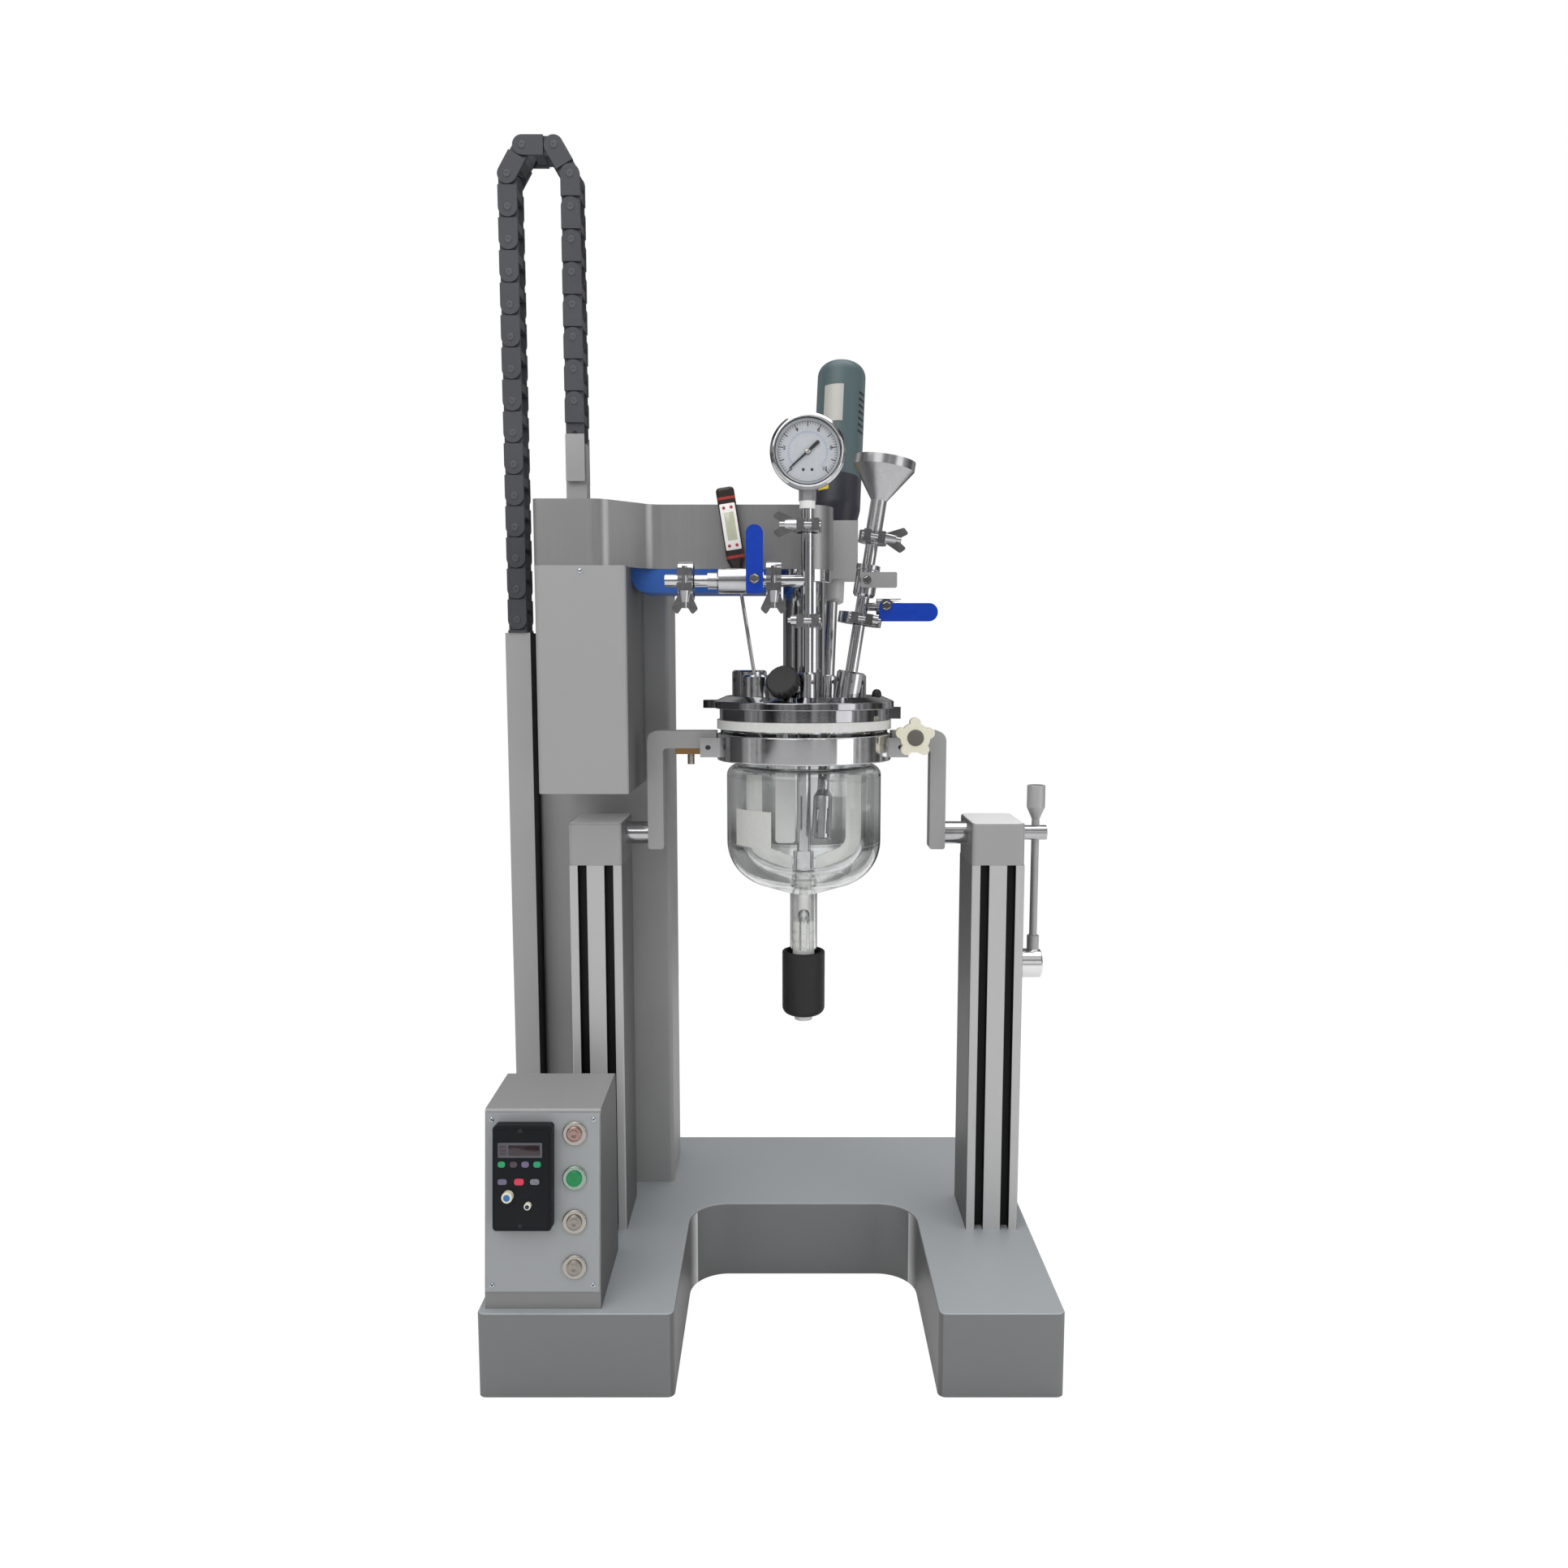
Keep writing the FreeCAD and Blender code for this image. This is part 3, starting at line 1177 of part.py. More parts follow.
def make_lid_knob():
    centre, axis = knob_frame()
    disc = turned([(0, -LID_KNOB_HALF), (LID_KNOB_R, -LID_KNOB_HALF), (LID_KNOB_R, LID_KNOB_HALF - 2),
                   (LID_KNOB_R - 2, LID_KNOB_HALF), (0, LID_KNOB_HALF)], ORIGIN, UP)
    for i in range(LID_KNOB_RIBS):
        angle = 2 * math.pi * i / LID_KNOB_RIBS
        spot = V(math.cos(angle), math.sin(angle), 0) * (LID_KNOB_R + 0.8)
        disc = disc.cut(cylinder(1.7, spot - UP * 2 * LID_KNOB_HALF, spot + UP * 2 * LID_KNOB_HALF))
    stem = cylinder(LID_KNOB_STEM_R, UP * (LID_KNOB_FOOT - knob_stem_length()), UP * -LID_KNOB_HALF)
    return in_frame(fused([disc, stem]), centre, axis, RIGHT)


# Pipes, clamps and valves
def feed_point(z):
    return V(FEED_PORT[0] + FEED_SLOPE * (z - LID_TOP), FEED_PORT[1], z)


def ferrule(centre, axis, ring_r):
    unit = V(axis).normalize()
    rise = unit * FERRULE_HEIGHT
    return cylinder(ring_r - CLAMP_RING - 0.1, centre - rise, centre + rise)


def hollow(shapes, bores):
    solid = fused(shapes)
    for tool in bores:
        solid = solid.cut(tool)
    return solid


def make_gauge_pipe():
    x = GAUGE_PORT[0]
    y = GAUGE_PORT[1]
    low = LID_TOP - 5
    run = cylinder(PIPE_R, V(x, y, low), V(x, y, SEAL_BOTTOM))
    branch_end = CLAMP_ONE[0]
    branch = cylinder(PIPE_R - 0.5, V(branch_end, y, TRAIN_Z), V(x, y, TRAIN_Z))
    rings = [ferrule(V(x, y, z), UP, ring_r) for z, ring_r in (CLAMP_A[:2], CLAMP_B[:2])]
    rings.append(ferrule(V(branch_end, y, TRAIN_Z), RIGHT, CLAMP_ONE[1]))
    bores = [bore(PIPE_BORE, V(x, y, low), V(x, y, SEAL_BOTTOM)),
             cylinder(PIPE_BORE - 0.5, V(branch_end - 2 * FERRULE_HEIGHT, y, TRAIN_Z), V(x, y, TRAIN_Z))]
    return hollow([run, branch] + rings, bores)


def make_vacuum_stub():
    y = GAUGE_PORT[1]
    start = V(STUB_TIP, y, TRAIN_Z)
    end = V(VALVE_LEFT, y, TRAIN_Z)
    land_end = V(STUB_LAND_END, y, TRAIN_Z)
    land = cylinder(PIPE_R, start, land_end)
    tube = cylinder(PIPE_R - 0.5, land_end, end)
    ring = ferrule(V(CLAMP_TWO[0], y, TRAIN_Z), RIGHT, CLAMP_TWO[1])
    return hollow([land, tube, ring], [bore(PIPE_BORE, start, end)])


def make_feed_pipe():
    low = LID_TOP - 5
    valve_low, valve_high = SMALL_VALVE[:2]
    lower = cylinder(PIPE_R, feed_point(low), feed_point(valve_low))
    upper = cylinder(PIPE_R, feed_point(valve_high), feed_point(CLAMP_C[0]))
    axis = feed_point(1) - feed_point(0)
    lower_rings = [lower, ferrule(feed_point(CLAMP_D[0]), axis, CLAMP_D[1])]
    upper_rings = [upper, ferrule(feed_point(CLAMP_C[0] - FERRULE_HEIGHT), axis, CLAMP_C[1])]
    return [hollow(lower_rings, [bore(PIPE_BORE, feed_point(low), feed_point(valve_low))]),
            hollow(upper_rings, [bore(PIPE_BORE, feed_point(valve_high), feed_point(CLAMP_C[0]))])]


def make_valve_bodies():
    y = GAUGE_PORT[1]
    vacuum = in_frame(revolved([
        (0, 0, 0), (PIPE_R + 2, 0, 0), (PIPE_R + 2, 10, 0), (VALVE_R, 12, 0), (VALVE_R, 42, 0),
        (PIPE_R + 3, 45, 0), (PIPE_R + 3, VALVE_RIGHT - VALVE_LEFT, 0), (0, VALVE_RIGHT - VALVE_LEFT, 0)]),
        V(VALVE_LEFT, y, TRAIN_Z), RIGHT, BACK)
    pivot = V(LEVER_X, y, TRAIN_Z)
    boss_front = V(LEVER_X, LEVER_FRONT + LEVER_THICKNESS + GAP, TRAIN_Z)
    vacuum = fused([vacuum, cylinder(2 * LEVER_STEM_R, boss_front, pivot)])
    vacuum = vacuum.cut(bore(LEVER_STEM_R + RUN, V(LEVER_X, LEVER_FRONT, TRAIN_Z), pivot))
    join = cylinder(PIPE_R - 0.5, V(VALVE_RIGHT, y, TRAIN_Z), V(CLAMP_ONE[0] - FERRULE_HEIGHT, y, TRAIN_Z))
    vacuum = fused([vacuum, join])
    valve_low, valve_high, valve_r = SMALL_VALVE
    start = feed_point(valve_low)
    length = (feed_point(valve_high) - start).Length
    small = turned([(0, 0), (valve_r - 2, 0), (valve_r, 3), (valve_r, length - 6), (valve_r + 1, length - 5),
                    (valve_r + 1, length), (0, length)], start, feed_point(1) - feed_point(0))
    middle = feed_point((valve_low + valve_high) / 2)
    front_y = PLATE_FRONT + LEVER_THICKNESS + GAP
    small = small.fuse(cylinder(2 * LEVER_STEM_R, V(middle.x, front_y, middle.z), middle))
    small = small.cut(bore(LEVER_STEM_R + RUN, V(middle.x, PLATE_FRONT, middle.z), middle)).removeSplitter()
    centre = feed_valve_point()
    link_start = feed_point(FEED_VALVE_Z).x + PIPE_R - HIDDEN
    link = cylinder(BRANCH_R, V(link_start, centre.y, centre.z), centre)
    body = cylinder(FEED_VALVE_R, V(centre.x - FEED_VALVE_R, centre.y, centre.z),
                    V(centre.x + 2 * FEED_VALVE_R, centre.y, centre.z))
    boss_front = V(centre.x, FEED_LEVER_FRONT + LEVER_THICKNESS + GAP, centre.z)
    stem_boss = cylinder(2 * LEVER_STEM_R, boss_front, centre)
    pipe_space = bore(PIPE_R, feed_point(CLAMP_D[0]), feed_point(SMALL_VALVE[0]))
    feed = fused([link, body, stem_boss]).cut(pipe_space)
    feed = feed.cut(bore(LEVER_STEM_R + RUN, V(centre.x, FEED_LEVER_FRONT, centre.z), centre))
    return [vacuum, feed, small]


def feed_valve_point():
    return V(FEED_VALVE_X, FEED_PORT[1], FEED_VALVE_Z)


def wing_nut():
    """Butterfly nut on a bolt along +X, its clamping face at the origin."""
    hub = cone(6.0, 4.5, ORIGIN, RIGHT * 12)
    corners = [(0, -5, 1.0), (0, 5, 1.0), (19, 14, 2.5), (25, 8, 2.0), (13, 0, 3.0),
               (25, -8, 2.0), (19, -14, 2.5)]
    wings = prism(corners, front(-1.5), BACK * 3)
    return fused([hub, wings])


def plain_nut():
    return cylinder(5.5, ORIGIN, RIGHT * 6)


def make_clamp(centre, axis, toward, size, nut, bolt_end):
    """Two-part pipe clamp with a swing bolt that crosses its front and a nut at the bolt's end."""
    ring_r, width = size
    ring = pipe(ring_r, ring_r - CLAMP_RING, UP * (-width / 2), UP * (width / 2))
    front_way = -1 if V(axis).normalize().cross(toward).y > 0 else 1
    bolt_y = front_way * (ring_r + 4)
    near = front_way * (ring_r - 3)
    far = front_way * (ring_r + 8)
    shapes = [ring]
    for left in (-12, 4):
        shapes.append(box(left, left + 8, min(near, far), max(near, far), -width / 2, width / 2))
    back = -front_way * ring_r
    shapes.append(cylinder(4.0, V(0, back, -width / 2), V(0, back, width / 2)))
    shapes[-1] = shapes[-1].cut(cylinder(ring_r - CLAMP_RING, UP * -width, UP * width))
    bolt = cylinder(CLAMP_BOLT_R, V(-14, bolt_y, 0), V(bolt_end, bolt_y, 0))
    nut.translate(V(12, bolt_y, 0))
    return in_frame(fused(shapes + [bolt, nut]), centre, axis, toward)


def make_clamps():
    x = GAUGE_PORT[0]
    y = GAUGE_PORT[1]
    feed_axis = feed_point(1) - feed_point(0)
    return [
        make_clamp(V(x, y, CLAMP_A[0]), UP, RIGHT * -1, CLAMP_A[1:], wing_nut(), SWING_BOLT_END),
        make_clamp(V(x, y, CLAMP_B[0]), UP, RIGHT * -1, CLAMP_B[1:], plain_nut(), SHORT_BOLT_END),
        make_clamp(V(CLAMP_ONE[0], y, TRAIN_Z), RIGHT, UP * -1, CLAMP_ONE[1:], wing_nut(), SWING_BOLT_END),
        make_clamp(V(CLAMP_TWO[0], y, TRAIN_Z), RIGHT, UP * -1, CLAMP_TWO[1:], wing_nut(), SWING_BOLT_END),
        make_clamp(feed_point(CLAMP_C[0]), feed_axis, RIGHT, CLAMP_C[1:], wing_nut(), SWING_BOLT_END),
        make_clamp(feed_point(CLAMP_D[0]), feed_axis, RIGHT, CLAMP_D[1:], plain_nut(), SHORT_BOLT_END)]


def make_lever(pivot, front_y, corners, stem_end):
    """Flat lever in front of a valve, with its stem running back into the body."""
    plate = prism(corners, front(front_y), BACK * LEVER_THICKNESS)
    stem = cylinder(LEVER_STEM_R, V(pivot.x, front_y, pivot.z), V(pivot.x, stem_end, pivot.z))
    return fused([plate, stem])


def make_vacuum_lever():
    half = LEVER_WIDTH / 2
    corners = rectangle(LEVER_X - half, LEVER_X + half, TRAIN_Z - LEVER_DOWN, TRAIN_Z + LEVER_UP, 4.0)
    corners[2] = (LEVER_X + half, TRAIN_Z + LEVER_UP, half - 0.2)
    corners[3] = (LEVER_X - half, TRAIN_Z + LEVER_UP, half - 0.2)
    stem_end = GAUGE_PORT[1] - HIDDEN
    return make_lever(V(LEVER_X, 0, TRAIN_Z), LEVER_FRONT, corners, stem_end)


def make_feed_lever():
    centre = feed_valve_point()
    half = FEED_LEVER_WIDTH / 2
    middle = centre.z - FEED_LEVER_DROP
    right = centre.x + FEED_LEVER_RIGHT
    corners = rectangle(centre.x - FEED_LEVER_LEFT, right, middle - half, middle + half, 2.0)
    corners[1] = (right, middle - half, half - 0.2)
    corners[2] = (right, middle + half, half - 0.2)
    return make_lever(centre, FEED_LEVER_FRONT, corners, centre.y - HIDDEN)


def make_small_handle():
    middle = feed_point((SMALL_VALVE[0] + SMALL_VALVE[1]) / 2)
    half = PLATE_WIDTH / 2
    corners = rectangle(middle.x - PLATE_LEFT, middle.x + PLATE_RIGHT,
                        middle.z - half, middle.z + half, 2.0)
    return make_lever(middle, PLATE_FRONT, corners, middle.y - HIDDEN)


def make_funnel():
    base = feed_point(CLAMP_C[0])
    axis = feed_point(1) - feed_point(0)
    neck = (FUNNEL_NECK_TOP - CLAMP_C[0]) * axis.Length
    top = (FUNNEL_TOP - CLAMP_C[0]) * axis.Length
    wall = FUNNEL_WALL
    ring = CLAMP_C[1] - CLAMP_RING - 0.1
    shoulder = top - FUNNEL_RIM
    points = [
        (PIPE_BORE, 0), (ring, 0), (ring, FERRULE_HEIGHT), (FUNNEL_NECK_R, FERRULE_HEIGHT + 1),
        (FUNNEL_NECK_R, neck),
        (FUNNEL_R, shoulder), (FUNNEL_R, top), (FUNNEL_R - wall, top), (FUNNEL_R - wall, shoulder),
        (FUNNEL_NECK_R - wall, neck), (FUNNEL_NECK_R - wall, 2 * wall), (PIPE_BORE, 2 * wall)]
    return turned(points, base, axis)


# Gauge
def gauge_centre():
    return V(GAUGE_PORT[0], GAUGE_PORT[1], GAUGE_Z)


def make_gauge_case():
    depth = GAUGE_BACK + GAUGE_FRONT
    case = turned([
        (0, 0), (GAUGE_CASE_R, 0), (GAUGE_CASE_R, depth - BEZEL_DEPTH), (BEZEL_OUT, depth - BEZEL_DEPTH),
        (BEZEL_OUT, depth - 2), (BEZEL_OUT - 2, depth), (DIAL_R, depth), (DIAL_R, depth - DIAL_RECESS),
        (0, depth - DIAL_RECESS)], gauge_centre() + BACK * GAUGE_BACK, BACK * -1)
    centre = gauge_centre()
    face_y = centre.y - GAUGE_FRONT + DIAL_RECESS
    face = V(centre.x, face_y, centre.z)
    case = case.cut(bore(NEEDLE_SPINDLE_R + RUN, face, face + BACK * NEEDLE_SPINDLE))
    hexagon = [V(centre.x + HEX_WIDTH / 1.732 * math.cos(math.radians(60 * i)),
                 centre.y + HEX_WIDTH / 1.732 * math.sin(math.radians(60 * i)), HEX_BOTTOM) for i in range(7)]
    neck = Part.Face(Part.makePolygon(hexagon)).extrude(UP * (centre.z - GAUGE_CASE_R + 4 - HEX_BOTTOM))
    seal = cylinder(SEAL_R, V(centre.x, centre.y, SEAL_BOTTOM), V(centre.x, centre.y, HEX_BOTTOM))
    return fused([case, neck, seal])


def make_needle():
    centre = gauge_centre()
    face_y = centre.y - GAUGE_FRONT + DIAL_RECESS
    low = V(centre.x, face_y - 2.5, centre.z)
    hub = cylinder(NEEDLE_HUB_R, low, V(centre.x, face_y - GAP, centre.z))
    spindle = cylinder(NEEDLE_SPINDLE_R, low, V(centre.x, face_y + NEEDLE_SPINDLE - GAP, centre.z))
    pointer = prism([(-NEEDLE_LENGTH, -0.5, 0), (0, -1.3, 0), (NEEDLE_TAIL, -2, 1.5), (NEEDLE_TAIL, 2, 1.5),
                     (0, 1.3, 0), (-NEEDLE_LENGTH, 0.5, 0)], front(0), BACK)
    pointer.rotate(ORIGIN, BACK, -42)
    pointer.translate(V(centre.x, face_y - 2, centre.z))
    return fused([hub, spindle, pointer])


# Homogenizer
def stem_frame():
    return V(STEM_PORT[0], STEM_PORT[1], LID_TOP), V(*LEAN)


def make_homogenizer_drive():
    start, axis = stem_frame()
    drive = revolved([
        (0, NOSE_START, 0), (NOSE_R, NOSE_START, 2.0), (NOSE_R, NOSE_END, 0), (DRIVE_LOW_R, NOSE_END, 4.0),
        (DRIVE_R, DRIVE_SHOULDER, 20.0), (DRIVE_R, DRIVE_END, DRIVE_ROUND), (0, DRIVE_END, 0)])
    drive = drive.cut(bore(ROTOR_SHAFT_R + RUN, UP * NOSE_START, UP * NOSE_END))
    return in_frame(drive, start, axis, RIGHT)


def make_homogenizer_coupling():
    start, axis = stem_frame()
    low = box(BLOCK_LEFT, BLOCK_RIGHT, ARM_HALF, BLOCK_BACK, BLOCK_BOTTOM, BLOCK_TOP)
    high = box(SMALL_BLOCK_LEFT, BLOCK_RIGHT, ARM_HALF, SMALL_BLOCK_BACK, BLOCK_TOP, SMALL_BLOCK_TOP)
    block = fused([low, high])
    unit = V(axis).normalize()
    return block.cut(cylinder(NOSE_R + 0.1, start, start + unit * 300))


def make_homogenizer_stem():
    start, axis = stem_frame()
    head_top = STATOR_BOTTOM + STATOR_LENGTH
    stem = revolved([
        (ROTOR_SHAFT_R + RUN, head_top, 0), (STATOR_R, head_top, 0), (STEM_R, head_top + 8, 0),
        (STEM_R, NOSE_START, 0), (ROTOR_SHAFT_R + RUN, NOSE_START, 0)])
    cage = revolved([(STATOR_R - 1.5, STATOR_BOTTOM, 0), (STATOR_R, STATOR_BOTTOM, 0),
                     (STATOR_R, head_top, 0), (STATOR_R - 1.5, head_top, 0)])
    for i in range(STATOR_SLOTS):
        slot = box(0, STATOR_R + HIDDEN, -SLOT_HALF, SLOT_HALF, STATOR_BOTTOM + 5, head_top - 14)
        slot.rotate(ORIGIN, UP, i * 360.0 / STATOR_SLOTS)
        cage = cage.cut(slot)
    return in_frame(fused([stem, cage]), start, axis, RIGHT)


def make_homogenizer_rotor():
    start, axis = stem_frame()
    low = STATOR_BOTTOM + 6
    high = low + ROTOR_HEIGHT
    shaft = cylinder(ROTOR_SHAFT_R, UP * low, UP * (NOSE_START + LAND))
    wheel = cylinder(ROTOR_R, UP * low, UP * high)
    for i in range(4):
        notch = box(ROTOR_SHAFT_R + 1, ROTOR_R + HIDDEN, -2, 2, STATOR_BOTTOM, high + HIDDEN)
        notch.rotate(ORIGIN, UP, i * 90.0)
        wheel = wheel.cut(notch)
    return in_frame(fused([shaft, wheel]), start, axis, RIGHT)


# Drain, knobs, lock lever, thermometer
def make_drain_grip():
    neck_seat = NECK_BOTTOM - GRIP_SEAT
    return revolved([
        (TIP_R + RUN, GRIP_BOTTOM, 0), (GRIP_R, GRIP_BOTTOM, 9.0), (GRIP_R, GRIP_TOP, 2.0),
        (GRIP_R - 4, GRIP_TOP, 0), (GRIP_R - 4, GRIP_TOP - 12, 0),
        (NECK_R + RUN, GRIP_TOP - 12, 0), (NECK_R + RUN, neck_seat, 0),
        (NECK_BORE + GAP, neck_seat, 0), (NECK_BORE + GAP, GRIP_BOTTOM + GRIP_FLOOR, 0),
        (TIP_R + RUN, GRIP_BOTTOM + GRIP_FLOOR, 0)], VESSEL_X)


def make_drain_plug():
    body_r = NECK_BORE - RUN
    body_bottom = GRIP_BOTTOM + GRIP_FLOOR + PLUG_TRAVEL + GAP
    groove_r = body_r - PLUG_GROOVE_DEPTH
    seat_low = VESSEL_BOTTOM - SEAT_THICKNESS
    corners = [(0, TIP_BOTTOM, 0), (TIP_R, TIP_BOTTOM, 1.0), (TIP_R, body_bottom, 0),
               (body_r, body_bottom, 0)]
    for low in PLUG_GROOVES:
        high = low + PLUG_GROOVE
        corners += [(body_r, low, 0), (groove_r, low, 0), (groove_r, high, 0), (body_r, high, 0)]
    corners += [
        (body_r, SPOUT_Z - 10, 0), (PLUG_STEM_R, SPOUT_Z - 8, 0), (PLUG_STEM_R, seat_low - 2, 0),
        (SEAT_BORE - RUN, seat_low, 0), (SEAT_BORE - RUN, VESSEL_BOTTOM, 0), (0, VESSEL_BOTTOM, 0)]
    return revolved(corners, VESSEL_X)


def make_star_knob():
    knob = cylinder(STAR_R - 6, ORIGIN, UP * (STAR_BACK - STAR_FRONT))
    for i in range(STAR_LOBES):
        angle = 2 * math.pi * i / STAR_LOBES + math.pi / 2
        spot = V(math.cos(angle), math.sin(angle), 0) * (STAR_R - 6)
        knob = knob.fuse(cylinder(6.0, spot, spot + UP * (STAR_BACK - STAR_FRONT)))
    return in_frame(fused([knob, star_stud()]), V(STAR_X, STAR_BACK, STAR_Z), BACK * -1, RIGHT)


def star_stud():
    """Stud behind the star knob, into the bracket."""
    depth = -BRACKET_DEPTH / 2 - STAR_BACK + STAR_SEAT - GAP
    return cylinder(STAR_STUD_R, UP * -depth, UP * 5)


def make_lock_lever():
    inner = POST_RIGHT_X + POST_WIDTH / 2 + GAP
    outer = inner + LOCK_HUB_LENGTH
    points = [(0, 0), (LOCK_HUB_R, 0), (LOCK_HUB_R, LOCK_HUB_LENGTH - 1.5),
              (LOCK_HUB_R - 1.5, LOCK_HUB_LENGTH), (0, LOCK_HUB_LENGTH)]
    hub = turned(points, V(inner, LOCK_Y, LOCK_Z), RIGHT)
    pin = cylinder(LOCK_PIN_R, V(inner - LOCK_PIN_LENGTH, LOCK_Y, LOCK_Z), V(inner, LOCK_Y, LOCK_Z))
    x = inner + LOCK_ROD_OFFSET
    low = LOCK_Z + LOCK_HUB_R - 2
    rod = revolved([
        (0, low, 0), (LOCK_ROD_R + 2.5, low, 0), (LOCK_ROD_R + 2.5, LOCK_COLLAR_Z, 1.0),
        (LOCK_ROD_R, LOCK_COLLAR_Z, 0), (LOCK_ROD_R, LOCK_GRIP_BOTTOM - 14, 0),
        (LOCK_GRIP_R, LOCK_GRIP_BOTTOM, 0), (LOCK_GRIP_R, LOCK_GRIP_TOP, 1.0),
        (LOCK_GRIP_R - 2.5, LOCK_GRIP_TOP, 0), (LOCK_GRIP_R - 2.5, LOCK_GRIP_TOP - 8, 0),
        (0, LOCK_GRIP_TOP - 8, 0)],
        x, LOCK_Y)
    return fused([hub, pin, rod])


def make_thermometer():
    start, axis = port_axis(PROBE_PORT, PROBE_LEAN)
    half_w = HANDLE_WIDTH / 2
    half_d = HANDLE_DEPTH / 2
    probe = cylinder(PROBE_R, UP * PROBE_LOW, UP * HANDLE_BODY)
    section = rectangle(-half_w, half_w, -half_d, half_d, 5.0)
    body = prism(section, plan(HANDLE_BODY), UP * (HANDLE_TOP - HANDLE_BODY))
    top_edges = [edge for edge in body.Edges if edge.BoundBox.ZMin > HANDLE_TOP - 0.01]
    body = body.makeFillet(4.0, top_edges)
    small = outline(rectangle(-3.2, 3.2, -3.2, 3.2, 3.0), plan(HANDLE_START))
    large = outline(section, plan(HANDLE_BODY))
    tip = Part.makeLoft([small, large], True)
    return in_frame(fused([probe, body, tip]), start, axis, RIGHT)


def main():
    os.makedirs("parts", exist_ok=True)
    keep("base_cover", make_base_cover())
    keep("base_frame", make_base_frame())
    keep("column_housing", make_column_housing())
    keep("column_collar", make_column_collar())
    keep("lift_actuator_tube", make_actuator_tube())
    keep("chain_support_tube", make_support_tube())
    keep("chain_fixed_run", make_chain_fixed_run())
    posts = [make_post(x) for x in (POST_LEFT_X, POST_RIGHT_X)]
    keep("post_profiles", *posts, *[make_post_head(x) for x in (POST_LEFT_X, POST_RIGHT_X)])
    keep("trunnion_shafts", *make_trunnion_shafts())
    keep("tilt_brackets", make_bracket(-1), make_bracket(1), *make_latch())
    keep("ring_clamp", make_ring_clamp())
    keep("glass_vessel", make_glass_vessel())
    keep("vessel_gasket", make_gasket())
    keep("control_box", make_control_box())
    keep("control_panel", *make_control_panel())
    keep("inverter_module", make_inverter())
    keep("arm_housing", make_arm_housing())
    keep("drive_box", make_drive_box())
    keep("drive_cover", make_drive_cover())
    keep("lift_ram", make_lift_ram())
    keep("chain_post", make_chain_post())
    keep("stirrer_motor", make_stirrer_motor())
    keep("drive_belt", make_drive_belt())
    keep("stirrer_tube", make_stirrer_tube())
    keep("lid", make_lid(), make_baffle())
    keep("port_nuts", *make_port_nuts(), make_knob_boss())
    keep("pipe_clamps", *make_clamps())
    keep("process_pipes", make_gauge_pipe(), make_vacuum_stub(), *make_feed_pipe())
    keep("ball_valve_bodies", *make_valve_bodies())
    keep("gauge_case", make_gauge_case())
    keep("funnel", make_funnel())
    keep("homogenizer_drive", make_homogenizer_drive())
    keep("homogenizer_coupling", make_homogenizer_coupling())
    keep("homogenizer_stem", make_homogenizer_stem())
    keep("stirrer_shaft", make_stirrer_shaft())
    keep("scraper_blades", make_scraper_blades())
    keep("motor_pulley", make_motor_pulley())
    keep("homogenizer_rotor", make_homogenizer_rotor())
    keep("vacuum_valve_lever", make_vacuum_lever())
    keep("feed_valve_lever", make_feed_lever())
    keep("small_valve_handle", make_small_handle())
    keep("gauge_needle", make_needle())
    keep("drain_grip", make_drain_grip())
    keep("drain_plug", make_drain_plug())
    keep("lid_knob", make_lid_knob())
    keep("star_knob", make_star_knob())
    keep("lock_lever", make_lock_lever())
    for row in range(len(BUTTON_ROWS)):
        keep("push_button_" + str(row + 1), make_push_button(row))
    keep("inverter_knob", make_inverter_knob(SPEED_KNOB))
    keep("trim_knob", make_inverter_knob(TRIM_KNOB))
    keep("thermometer", make_thermometer())
    keep("chain_link_1", chain_run(0, 1))
    keep("chain_link_2", chain_run(1, 1))
    keep("chain_link_3", chain_run(2, 2))
    keep("chain_link_4", chain_run(4, 1))
    keep("chain_link_5", chain_run(5, 1))
    keep("chain_moving_run", chain_run(6, MOVING_LINKS))
    for name, shape in PARTS.items():
        shape.exportStep("parts/" + name + ".step")
        volume = round(shape.Volume / 1000, 1)
        print(name, "valid", shape.isValid(), "solids", len(shape.Solids), "cm3", volume)


main()
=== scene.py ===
# %% [markdown]
# Vacuum emulsifying mixer
#
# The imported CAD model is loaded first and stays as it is. This script dresses it:
# every CAD node gets a procedural finish, and small parts that the solids leave out,
# such as screws, the dial and the panel's keys, are modelled here with bmesh.

# %% Load the frame
import math

import bmesh
import bpy
from mathutils import Matrix, Vector


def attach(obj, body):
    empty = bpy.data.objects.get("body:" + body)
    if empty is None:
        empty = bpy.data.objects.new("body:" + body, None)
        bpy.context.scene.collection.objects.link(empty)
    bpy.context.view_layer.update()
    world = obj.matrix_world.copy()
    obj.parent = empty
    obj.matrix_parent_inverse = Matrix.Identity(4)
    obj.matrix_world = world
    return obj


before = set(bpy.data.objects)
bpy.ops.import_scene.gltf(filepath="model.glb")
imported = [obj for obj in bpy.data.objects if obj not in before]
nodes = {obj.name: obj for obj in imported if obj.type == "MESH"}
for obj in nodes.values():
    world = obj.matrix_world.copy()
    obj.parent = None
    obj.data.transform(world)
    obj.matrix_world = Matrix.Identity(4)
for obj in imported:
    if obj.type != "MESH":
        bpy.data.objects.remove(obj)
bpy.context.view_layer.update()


# %% [markdown]
# The photograph was taken a little above the middle of the machine, looking slightly down.
# The camera stands where its perspective gives the same picture, with a wide lens and no shift.

